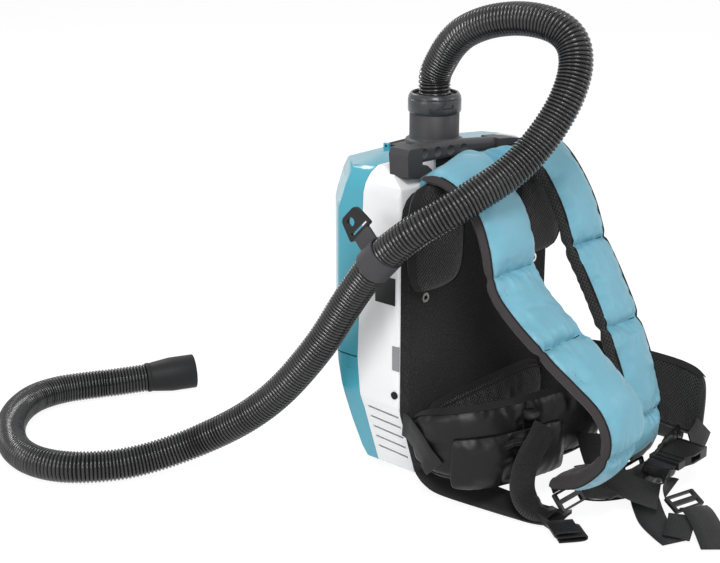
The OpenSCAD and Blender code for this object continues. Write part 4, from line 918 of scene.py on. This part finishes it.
class VACUUM_OT_stage(bpy.types.Operator):
    """Add the floor, the lamps, the world and the camera"""
    bl_idname = "vacuum.stage"
    bl_label = "Stage"

    def execute(self, context):
        given = context.scene.vacuum_stage
        context.scene.view_settings.view_transform = "Standard"
        self.camera(context, given)
        self.world(context)
        self.floor(given)
        studio_lamp("Key", (-1.3, -1.2, 2.2), 0.8, given.key_power * 0.85)
        studio_lamp("Front", (-1.6, -2.0, 1.2), 0.6, given.key_power * 0.3)
        studio_lamp("Side", (-2.4, 0.3, 1.0), 0.9, given.key_power * 0.3)
        studio_lamp("Fill", (1.5, -1.9, 1.3), 0.5, given.key_power * 0.2)
        studio_lamp("Back", (0.5, 2.1, 1.9), 0.6, given.key_power * 0.4)
        return {"FINISHED"}

    def camera(self, context, given):
        camera = bpy.data.cameras.new("Camera")
        camera.lens = given.lens
        camera.sensor_width = 36
        camera.clip_start = 0.05
        camera.clip_end = 50
        held = bpy.data.objects.new("Camera", camera)
        place = Vector((-1.1791, -0.9665, 0.6807))
        aim = Vector((-0.0482, 0.0517, 0.1863))
        held.location = place
        held.rotation_euler = (aim - place).to_track_quat("-Z", "Y").to_euler()
        context.scene.collection.objects.link(held)
        context.scene.camera = held

    def world(self, context):
        world = bpy.data.worlds.new("Studio")
        world.use_nodes = True
        tree = world.node_tree
        tree.nodes.clear()
        rays = add(tree, "LightPath")
        seen = add(tree, "Math", {"operation": "MAXIMUM"},
                   {0: rays.outputs["Is Camera Ray"], 1: rays.outputs["Is Glossy Ray"]})
        shown = add(tree, "Math", {"operation": "MAXIMUM"},
                    {0: seen.outputs[0], 1: rays.outputs["Is Transmission Ray"]})
        light = add(tree, "Background", {"Color": (1, 1, 1, 1), "Strength": 0.3})
        white = add(tree, "Background", {"Color": (1, 1, 1, 1), "Strength": 1.0})
        mixed = add(tree, "MixShader", {}, {0: shown.outputs[0], 1: light.outputs[0],
                                            2: white.outputs[0]})
        add(tree, "OutputWorld", {}, {"Surface": mixed.outputs[0]})
        context.scene.world = world

    def floor(self, given):
        m = bpy.data.materials.new("White_paper_backdrop")
        m.use_nodes = True
        tree = m.node_tree
        tree.nodes.clear()
        rays = add(tree, "LightPath")
        paper = add(tree, "BsdfDiffuse", {"Color": list(given.floor_colour)})
        bright = add(tree, "Emission", {"Color": (1, 1, 1, 1), "Strength": 0.91})
        dull = add(tree, "BsdfDiffuse", {"Color": (0.2, 0.2, 0.2, 1)})
        shown = add(tree, "AddShader", {}, {0: bright.outputs[0], 1: dull.outputs[0]})
        seen = add(tree, "Math", {"operation": "MAXIMUM"},
                   {0: rays.outputs["Is Camera Ray"], 1: rays.outputs["Is Glossy Ray"]})
        mixed = add(tree, "MixShader", {}, {0: seen.outputs[0], 1: paper.outputs[0],
                                            2: shown.outputs[0]})
        add(tree, "OutputMaterial", {}, {"Surface": mixed.outputs[0]})
        bm = bmesh.new()
        bmesh.ops.create_circle(bm, cap_ends=True, segments=64, radius=12,
                                matrix=Matrix.Translation((0, 0, -0.3 * MM)))
        mesh = bpy.data.meshes.new("Floor")
        bm.to_mesh(mesh)
        bm.free()
        mesh.materials.append(m)
        floor = bpy.data.objects.new("Floor", mesh)
        bpy.context.scene.collection.objects.link(floor)


def facing(way):
    """The turn that brings the upright direction to the way."""
    tilt = math.acos(max(-1, min(1, way[2])))
    return (Matrix.Rotation(math.atan2(way[1], way[0]), 4, "Z")
            @ Matrix.Rotation(tilt, 4, "Y"))


class VACUUM_OT_hose(bpy.types.Operator):
    """Add the ribbed hose with its cuff, band and tab"""
    bl_idname = "vacuum.hose"
    bl_label = "Hose"

    def execute(self, context):
        given = context.scene.vacuum_hose
        line = smooth_line(HOSE_ROUTE)
        length = distances(line)[-1]
        ribs = int(length / given.rib_pitch)
        wave = [(0.0, 0.0), (0.1, 0.36), (0.24, 0.76), (0.38, 0.96), (0.5, 1.0), (0.62, 0.96),
                (0.76, 0.76), (0.9, 0.36)]
        marks, radii = [], []
        crest = 16.5 * MM
        for k in range(ribs):
            for phase, height in wave:
                marks.append((k + phase) / ribs)
                radii.append(crest - given.rib_depth * (1 - height))
        rings = self.circles(line, marks + [1.0], radii + [crest - given.rib_depth])
        inside = np.linspace(1, 0, 130)
        rings += self.circles(line, inside, [14 * MM] * len(inside))
        hose = settle("ribbed_hose", sweep(rings, loop=True), [finish("hose")], "root",
                      ["hose"], sharp=80)
        end = vec(HOSE_ROUTE[-1])
        way = (end - vec(HOSE_ROUTE[-2])).normalized()
        cuff = settle("hose_cuff_sleeve", spun(
            [(14, 0), (16.4, 0), (17.1, 0.5), (17.3, 1.4), (17.3, 3.6), (16.9, 4.6), (16.9, 6.4),
             (17.4, 9), (18.7, 19), (19.6, 26), (20, 29.5), (20, 56.6), (19.7, 57.6),
             (19, 58), (18.4, 57.9), (18, 57.3), (18, 32), (17.6, 31.6), (14, 31.6)],
            Matrix.Translation(end + way * 0.3 * MM) @ facing(way), 72),
            [finish("inner")], "root", ["hose_cuff"])
        band = refined("hose_band", "root", finish("grey"), 0.6 * MM)
        tab = refined("band_tab", "root", finish("black"), 0.7 * MM)
        return {"FINISHED"}

    def circles(self, line, marks, radii):
        rows = spaced(line, marks)
        side, up = carried_frames(rows)
        sides = 20
        turn = np.arange(sides) * 2 * math.pi / sides
        if marks[0] > marks[-1]:
            up = -up
        return [rows[i] + r * (np.cos(turn)[:, None] * side[i] + np.sin(turn)[:, None] * up[i])
                for i, r in enumerate(radii)]


class VACUUM_OT_inlet(bpy.types.Operator):
    """Add the inlet pipe, the lock ring, the hose sleeve and the deck"""
    bl_idname = "vacuum.inlet"
    bl_label = "Inlet"

    def execute(self, context):
        upright = Matrix.Translation(AXIS)
        settle("inlet_pipe_turned", spun(
            [(20, 332), (30, 332), (30, 333.5), (29.6, 334.2), (29.9, 340.6), (29.3, 341.9),
             (28, 342.7), (26.6, 343), (25.9, 343.9), (25.5, 346), (25.5, 368.6), (25.2, 368.9),
             (25.2, 369.5), (25.5, 369.8), (25.5, 377.5), (25.1, 378), (21.9, 378),
             (21.5, 377.6), (21.5, 338), (17.5, 338), (17.5, 314.4), (17.9, 314),
             (19.6, 314), (20, 314.4)], upright, 128),
            [finish("grey")], "root", ["inlet_pipe"], sharp=50)
        ring = settle("lock_ring_turned", spun(
            [(25.6, 370.2), (26.3, 370.2), (26.8, 370.6), (27, 371.4), (27.3, 372), (27.3, 383.6),
             (27.1, 384.1), (26.5, 384.3), (26.4, 384.9), (26.8, 385.3), (26.8, 386),
             (26.5, 386.8), (24.9, 389.4), (24.2, 390), (23.3, 390), (22.8, 389.5),
             (22.7, 388.8), (22.7, 378.6), (25.6, 378.4)], upright, 128),
            [finish("ring")], body_of("hose_lock_ring"), ["hose_lock_ring"], sharp=50)
        self.mark(ring)
        settle("hose_sleeve_turned", spun(
            [(14, 356), (20.8, 356), (21.1, 356.4), (21.1, 379), (22.3, 379), (22.3, 386.5),
             (21.9, 387), (17.3, 387), (16.8, 386.6), (16.8, 372), (14, 372)], upright, 96),
            [finish("inner")], "root", ["hose_sleeve"], sharp=50)
        refined("inlet_deck", "root", finish("grey"), 1.0 * MM)
        coat("seals", "rubber")
        return {"FINISHED"}

    def mark(self, ring):
        """Painted shade: the moulded L of the bayonet's closed position is a recess in the ring,
        drawn as a thin dark L on the ring's skin to stand for the shade inside it.
        """
        for number, (low, high, start, end) in enumerate(
                [(376.6, 377.6, -124, -97), (377.6, 380.4, -101, -97)]):
            rings = []
            for turn in np.radians(np.linspace(start, end, 14)):
                out = np.array([math.cos(turn), math.sin(turn), 0])
                rings.append(np.array([
                    np.array(AXIS) + out * r * MM + np.array([0, 0, z * MM])
                    for r, z in ((27.0, low), (27.42, low), (27.42, high), (27.0, high))]))
            # Painted shade: the dark L stands where the real ring has a shaded recess.
            settle(f"lock_ring_L_shade_{number}", sweep(rings), [finish("inner")],
                   body_of("hose_lock_ring"), sharp=50)


class VACUUM_OT_shells(bpy.types.Operator):
    """Add the casing, the covers, the door, the latches, the foot and the small trim"""
    bl_idname = "vacuum.shells"
    bl_label = "Shells"

    def execute(self, context):
        edge = context.scene.vacuum_case.edge
        for node, slot, key, size in (
                ("main_casing", "white", "white", 1.2), ("lower_cover", "teal", "teal", 1.2),
                ("dust_cover", "teal", "teal", 1.2), ("battery_door", "teal", "teal", 1.0),
                ("battery_door_latch", "black_plastic", "black", 0.8),
                ("dust_cover_latch", "black_plastic", "black", 0.6),
                ("rear_foot", "rubber", "rubber", 1.5), ("side_tabs", "silver", "pale", 0.3),
                ("rating_plate", "black_plastic", "plate", 0.2)):
            refined(node, body_of(node), finish(key), edge * size)
        coat("case_screws", "dark_steel")
        coat("hinge_pins", "steel")
        return {"FINISHED"}


class VACUUM_OT_handle(bpy.types.Operator):
    """Add the carrying handle and its arms"""
    bl_idname = "vacuum.handle"
    bl_label = "Handle"

    def execute(self, context):
        refined("handle_grip", "root", finish("grey"), 0.5 * MM)
        refined("handle_brackets", "root", finish("grey"), 2.4 * MM)
        return {"FINISHED"}


class VACUUM_OT_insides(bpy.types.Operator):
    """Finish the motor, the fan, the filter, the bag and the batteries"""
    bl_idname = "vacuum.insides"
    bl_label = "Insides"

    def execute(self, context):
        for key, nodes in {
                "inner": ("inner_frame", "motor_housing", "filter_frame", "battery_cradle",
                          "battery_left", "battery_right"),
                "cast": ("motor_end_plate", "fan_impeller"),
                "steel": ("motor_rotor", "motor_bearings"), "copper": ("motor_stator",),
                "rubber": ("motor_mounts",), "board": ("control_board",),
                "red": ("wiring_loom", "battery_button_left", "battery_button_right"),
                "foam": ("exhaust_foams",), "paper": ("filter_pleats", "bag_collar")}.items():
            for node in nodes:
                coat(node, key)
        self.bag()
        return {"FINISHED"}

    def bag(self):
        """The paper bag: a pleated, slack loft that hangs from its collar."""
        low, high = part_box("dust_bag")
        mid = (low + high) / 2
        reach = (high - low) / 2
        rings = []
        levels = 30
        for k in range(levels + 1):
            v = k / levels
            swell = 0.55 + 0.45 * max(0.0, 1 - abs(2 * v - 1) ** 3) ** 0.5
            ring = []
            for a in range(72):
                turn = a * 2 * math.pi / 72
                c, s = math.cos(turn), math.sin(turn)
                fold = 1 - 0.02 * math.sin(turn * 12 + v * 5) - 0.012 * math.sin(turn * 5 + v * 14)
                size = swell * fold * 0.99
                ring.append((mid.x + reach.x * size * math.copysign(abs(c) ** 0.5, c),
                             mid.y + reach.y * size * math.copysign(abs(s) ** 0.5, s),
                             low.z + (high.z - low.z) * v))
            rings.append(np.array(ring))
        bag = settle("dust_bag_paper", sweep(rings), [finish("paper")], "root",
                     ["dust_bag"], sharp=60, subdivide=1)


class VACUUM_OT_back_plate(bpy.types.Operator):
    """Add the felt back plate, its eyelets, the three mesh pads and the yoke"""
    bl_idname = "vacuum.back_plate"
    bl_label = "Back plate"

    def execute(self, context):
        refined("back_plate", "root", finish("felt"), 2.6 * MM,
                "back_plate_felt")
        coat("eyelets", "nickel")
        for side, x in (("left", -84), ("right", 84)):
            self.pad("upper_pad_" + side, [(x, -80.3, 217 + 107 * k / 6, 84) for k in range(7)],
                     (1, 0, 0), 16, (4, 0.42))
        self.pad("lumbar_pad", [(-97 + 194 * k / 8, -80.3, 68, 62) for k in range(9)],
                 (0, 0, 1), 16, (7, 0.35))
        self.yoke()
        swell_cloth(4)
        return {"FINISHED"}

    def pad(self, node, points, across, thick, narrow):
        columns = 16
        rings, marks, lines = padding(points, across, thick, step=4, columns=columns, ends=4,
                                      least=0.3, narrow=narrow)
        cushion(node + "_mesh", rings, columns, lines, [finish("mesh")], [node],
                edge=2, gathers=0.3)
        last = len(rings) - 1
        for label, middle in (("a", 0), ("b", columns)):
            tape(f"{node}_edging_{label}",
                 laid_on(rings, list(range(middle - 1, middle + 2)), 0, last, 0.8),
                 "edging")
            line = skin_line(rings, middle + (2 if middle == 0 else -2), 1, last - 1, 0.4)[0]
            piping(f"{node}_piping_{label}", line, 1.0, "edging")
        for label, first in (("c", 0), ("d", last - 1)):
            tape(f"{node}_edging_{label}",
                 laid_on(rings, range(1, columns), first, first + 1, 0.8), "edging")
        stitches(node + "_stitches",
                 [skin_line(rings, c, 1, last - 1, 0.1) for c in (3, columns - 3)],
                 "thread")

    def yoke(self):
        """Padded cloth on the plate's top edge and its full middle between the straps."""
        edge = [(-62.7, 313.6), (-62.6, 319), (-63, 324), (-67, 325.3), (-71, 324),
                (-71.9, 319), (-71.8, 313.6)]
        rings = []
        for k in range(61):
            x = -90 + 187.5 * k / 60
            full = 1 + 0.04 * math.sin(k * 1.9) + 0.03 * math.sin(k * 0.83)
            rings.append(np.array([(x * MM, y * MM, (313.6 + (z - 313.6) * full) * MM)
                                   for y, z in edge]))
        strip = settle("yoke_edge_cloth", sweep(rings), [finish("yoke")], "root",
                       ["yoke"], sharp=180, subdivide=1)
        middle = [(-63, 321.5), (-66, 336), (-75, 341.5), (-86, 341.6), (-98, 338.6),
                  (-107, 333), (-113, 327), (-111, 322.5), (-105, 323), (-94, 328.5),
                  (-84, 328.8), (-77, 327), (-72, 322)]
        rings = []
        for k in range(27):
            x = -22.5 + 53 * k / 26
            across = 2 * k / 26 - 1
            fold = 1.2 * math.exp(-((k - 9) / 2.2) ** 2) + 1.0 * math.exp(-((k - 19) / 2) ** 2)
            drop = 1.1 * across ** 4 + fold
            rings.append(np.array([(x * MM, y * MM, (z - drop * (1 if i < 7 else 0.4)) * MM)
                                   for i, (y, z) in enumerate(middle)]))
        full = settle("yoke_middle_cloth", sweep(rings), [finish("yoke")], "root",
                      (), sharp=180, subdivide=2)


class VACUUM_OT_straps(bpy.types.Operator):
    """Add the two padded shoulder straps with their edging and seams"""
    bl_idname = "vacuum.straps"
    bl_label = "Shoulder straps"

    def execute(self, context):
        self.strap("left", STRAP_LEFT, (6.72, 8.8, 13.1), 0.26)
        self.strap("right", STRAP_RIGHT, (5.98, 8.06, 10.9), 0.0)
        swell_cloth(4)
        return {"FINISHED"}

    def strap(self, side, points, seams, tilt):
        columns = 18
        rings, marks, lines = padding(points, (1, 0, 0), 17, seams, step=4.2, columns=columns,
                                      drawn=0.05, ends=10, tilt=tilt)
        node = "shoulder_strap_" + side
        cushion(node + "_cloth", rings, columns, lines, [finish("strap"), finish("mesh")],
                [node], edge=1, gathers=1.2,
                shown=columns if side == "left" else columns - 2)
        last = len(rings) - 1
        start = int(np.searchsorted(marks, 0.06))
        if side == "left":
            # The gusset under the left edge, and a thin cord along the teal cloth.
            self.edge(node, "gusset", rings, range(columns - 1, columns + 4), 1, last - 1)
            piping(node + "_piping", skin_line(rings, columns - 1, start, last - 2, 0.5)[0],
                   0.9, "edging")
            self.edge(node, "hem", rings, range(-3, 0), start, last - 1)
        else:
            self.edge(node, "hem", rings, range(-2, 2), 2, last - 1, "edging")
            piping(node + "_piping", skin_line(rings, columns - 2, 2, last - 2, 0.5)[0],
                   0.9, "edging")
        stitches(node + "_stitches",
                 [skin_line(rings, c, start, last - 2, 0.15) for c in (2, columns - 3)],
                 "teal_thread", pitch=3.6, long=1.0, thin=0.25)
        # Painted shade: a thin dark teal cord in each seam stands for the shadow in the seam's
        # groove.
        for number, line in enumerate(lines):
            across = list(range(2, columns - 1))
            piping(f"{node}_seam_shade_cord_{number}", seam_line(rings, line, across, 0.3)[0], 0.6,
                   "crease")
        end = last - 1
        layer = laid_on(rings, range(5, columns - 4), end - 6, end, 1.9, sink=0.2)
        tape(node + "_end_patch", layer, "webbing")
        stitches(node + "_patch_stitches",
                 [seam_line(rings, i, list(range(6, columns - 5)), 2.0)
                  for i in (end - 5, end - 4)], "thread", pitch=2.6)

    def edge(self, node, label, rings, columns, first, last, key="binding"):
        tape(f"{node}_{label}", laid_on(rings, list(columns), first, last, 0.9), key)


class VACUUM_OT_belt(bpy.types.Operator):
    """Add the belt wings and their zipped pouches"""
    bl_idname = "vacuum.belt"
    bl_label = "Belt wings"

    def execute(self, context):
        left = [(x, y, WING_Z + rise, high) for (x, y), rise, high
                in zip(WING_LEFT, WING_LEFT_RISE, WING_LEFT_HIGH)]
        self.wing("left", left, 1, (5,))
        self.wing("right", [(x, y, WING_Z, 78) for x, y in WING_RIGHT], -1, (3.5,))
        self.pouch("left", WING_LEFT, 2.67, 6, 58, 58, 1)
        self.pouch("right", WING_RIGHT, 2, 5, 50, 70, -1)
        self.skirt()
        swell_cloth(3.5)
        return {"FINISHED"}

    def wing(self, side, points, flip, seams):
        columns = 16
        rings, marks, lines = padding(points, (0, 0, flip), 15, seams, step=4.5,
                                      columns=columns, ends=10, drawn=0.02, narrow=(8, 0.7))
        node = "belt_wing_" + side
        cushion(node + "_cloth", rings, columns, lines, [finish("nylon"), finish("mesh")],
                [node], edge=1, lower_free=0.4, gathers=0.8)
        last = len(rings) - 1
        for label, middle in (("a", 0), ("b", columns)):
            tape(f"{node}_edging_{label}",
                 laid_on(rings, list(range(middle - 1, middle + 2)), 1, last - 1, 0.9),
                 "edging")
        piping(node + "_piping", skin_line(rings, 3, 2, last - 2, 0.3)[0], 0.9, "edging")
        stitches(node + "_stitches",
                 [skin_line(rings, c, 2, last - 2, 0.2) for c in (2, columns - 2)]
                 + [seam_line(rings, i, list(range(3, columns - 2)), 0.15) for i in lines],
                 "thread")

    def pouch(self, side, line, first, last, z, high, flip):
        columns = 14
        rows = smooth_line([(x, y, z) for x, y in line])
        out = np.cross(travel(rows), (0, 0, 1)) * flip * 12.3 * MM
        rows = (rows + out)[int(first * 12):int(last * 12) + 1]
        points = [tuple(r / MM) + (high,) for r in spaced(rows, np.linspace(0, 1, 9))]
        rings, marks, lines = padding(points, (0, 0, flip), 9, (4,), step=4.2,
                                      columns=columns, ends=8, narrow=(6, 0.85))
        node = f"belt_pouch_{side}"
        cushion(node + "_cloth", rings, columns, lines, [finish("nylon")],
                ["belt_pouches"] if side == "left" else (), edge=1,
                lower_free=0.05, gathers=0.7)
        end = len(rings) - 1
        layer = laid_on(rings, [2, 3, 4], 3, end - 3, 0.5)
        tape(node + "_zip_tape", layer, "edging")
        stitches(node + "_zip_teeth", [skin_line(rings, 3, 4, end - 4, 0.75)],
                 "plate", pitch=1.9, long=0.6, thin=1.2)
        stitches(node + "_stitches",
                 [skin_line(rings, c, 2, end - 2, 0.15) for c in (5, columns - 2)]
                 + [seam_line(rings, i, list(range(5, columns - 2)), 0.15) for i in lines],
                 "thread")

    def skirt(self):
        """Slack nylon that hangs from the right wing's lower edge to the floor."""
        points = [(128, -240, 36, 50), (106, -247, 30, 54), (80, -251, 29, 52),
                  (52, -252, 26, 36), (28, -246, 22, 32), (6, -230, 20, 32),
                  (-12, -212, 19, 30)]
        rings, marks, lines = padding(points, (0, 0, 1), 8, (2.2,), step=4.5, columns=14,
                                      ends=6, narrow=(6, 0.7))
        cushion("belt_skirt_right_cloth", rings, 14, lines, [finish("nylon")],
                edge=0, lower_free=1.0, gathers=1.4)
        piping("belt_skirt_right_hem", skin_line(rings, 14, 1, len(rings) - 2, 0.3)[0], 1.0,
               "edging")


class VACUUM_OT_webbing(bpy.types.Operator):
    """Add the straps' webbing, the belt's webbing and their tails"""
    bl_idname = "vacuum.webbing"
    bl_label = "Webbing"

    def execute(self, context):
        webbing("strap_webbing_left_run",
                [(-84, -73.5, 24), (-84, -82, 17), (-82, -98, 12), (-78, -150, 11),
                 (-75, -180, 10), (-70, -204, 8), (-60, -220, 8), (-52, -229, 13)],
                (0.8, 0, 0.6), 30, ["strap_webbing_left"], end_across=(1, 0, 0))
        webbing("strap_webbing_left_end",
                [(-50, -212.9, 43.2), (-50, -212.8, 38), (-50, -215.4, 32.2)], (1, 0, 0), 30)
        webbing("strap_webbing_left_loop",
                [(-76, -202, 8.5), (-82, -222, 8.5), (-88, -238, 8.5)], (0, 0, 1), 9)
        webbing("strap_webbing_left_tail",
                [(-90, -237, 3), (-72, -251, 3), (-68, -254, 5.5), (-72, -251, 8),
                 (-90, -237, 8), (-94, -234, 10.5), (-90, -237, 13), (-74, -249.5, 13)],
                (0.6, 0.8, 0), 26)
        webbing("strap_webbing_right_tail",
                [(52.4, -237, 8.9), (51.6, -242.5, 6.2), (47, -249, 4.4), (37, -257, 3.3),
                 (20, -271, 3), (-2, -292, 3), (-16, -314, 3), (-23, -328, 3)],
                (1, 0, 0), 30, ["strap_webbing_right"], end_across=(0.7, -0.7, 0))
        webbing("strap_webbing_right_fold",
                [(-19, -326, 5), (-6, -321, 7), (8, -315, 8.5), (20, -309, 9)],
                (0.5, -0.9, 0), 26)
        webbing("belt_webbing_right_end",
                [(107.4, -266, 41), (114, -266.4, 43), (124, -266.3, 49),
                 (131.4, -265.5, 55.4)], (0.1, 0.2, 1), 30, ["belt_webbing"])
        webbing("belt_webbing_from_plug",
                [(51.4, -267, 41), (47, -267, 40.6), (42.5, -267.6, 38), (41, -271, 32),
                 (42, -276, 26), (44.3, -282.6, 20.2)], (0, 1, 0), 30,
                end_across=(0.95, -0.3, 0))
        webbing("belt_webbing_from_wing",
                [(27, -197, 60), (16, -208, 50), (6, -226, 37), (10, -252, 26),
                 (18, -270, 20), (24, -280, 17)], (0.9, -0.3, 0.2), 30)
        webbing("belt_webbing_tail",
                [(38.7, -310.6, 11), (31, -321, 12), (14, -340, 9.5), (-10, -364, 3.5)],
                (0.8, -0.6, 0), 30)
        webbing("belt_webbing_pouch_loop",
                [(-39, -185, 87), (-48, -184, 74), (-60, -182.5, 60), (-70, -183, 45),
                 (-76, -187, 30), (-76, -195, 18), (-68, -205, 12), (-57, -214, 13)],
                (0.96, -0.28, 0), 30)
        webbing("belt_webbing_stay",
                [(-114.3, -66, 78), (-116, -74, 77), (-119.5, -83, 74), (-124, -96, 68),
                 (-127, -108, 58), (-127, -117, 49)], (0, 0, 1), 26)
        return {"FINISHED"}


class VACUUM_OT_buckles(bpy.types.Operator):
    """Add the belt's buckle, the ladder adjusters and the slide"""
    bl_idname = "vacuum.buckles"
    bl_label = "Buckles"

    def execute(self, context):
        for node in ("adjusters", "buckle_socket", "buckle_plug"):
            refined(node, "root", finish("black"), 0.8 * MM)
        return {"FINISHED"}


class VACUUM_PT_panel(bpy.types.Panel):
    """Lists the vacuum cleaner's pieces and sizes"""
    bl_idname = "VACUUM_PT_panel"
    bl_label = "Backpack vacuum"
    bl_space_type = "VIEW_3D"
    bl_region_type = "UI"
    bl_category = "Vacuum"

    def draw(self, context):
        layout = self.layout
        for group in GROUPS:
            held = getattr(context.scene, group)
            box = layout.box()
            for name in held.__annotations__:
                box.prop(held, name)
        for operator in OPERATORS:
            layout.operator(operator.bl_idname)


GROUPS = {
    "vacuum_case": VacuumCaseSettings, "vacuum_hose": VacuumHoseSettings,
    "vacuum_harness": VacuumHarnessSettings, "vacuum_stage": VacuumStageSettings,
}
OPERATORS = (
    VACUUM_OT_stage, VACUUM_OT_hose, VACUUM_OT_inlet, VACUUM_OT_shells, VACUUM_OT_handle,
    VACUUM_OT_insides, VACUUM_OT_back_plate, VACUUM_OT_straps, VACUUM_OT_belt,
    VACUUM_OT_webbing, VACUUM_OT_buckles,
)


def register():
    for name, group in GROUPS.items():
        bpy.utils.register_class(group)
        setattr(bpy.types.Scene, name, PointerProperty(type=group))
    for held in OPERATORS + (VACUUM_PT_panel,):
        bpy.utils.register_class(held)


def unregister():
    for held in reversed(OPERATORS + (VACUUM_PT_panel,)):
        bpy.utils.unregister_class(held)
    for name, group in reversed(GROUPS.items()):
        delattr(bpy.types.Scene, name)
        bpy.utils.unregister_class(group)


def main():
    register()
    for operator in OPERATORS:
        family, action = operator.bl_idname.split(".")
        getattr(getattr(bpy.ops, family), action)()


if __name__ == "__main__":
    main()
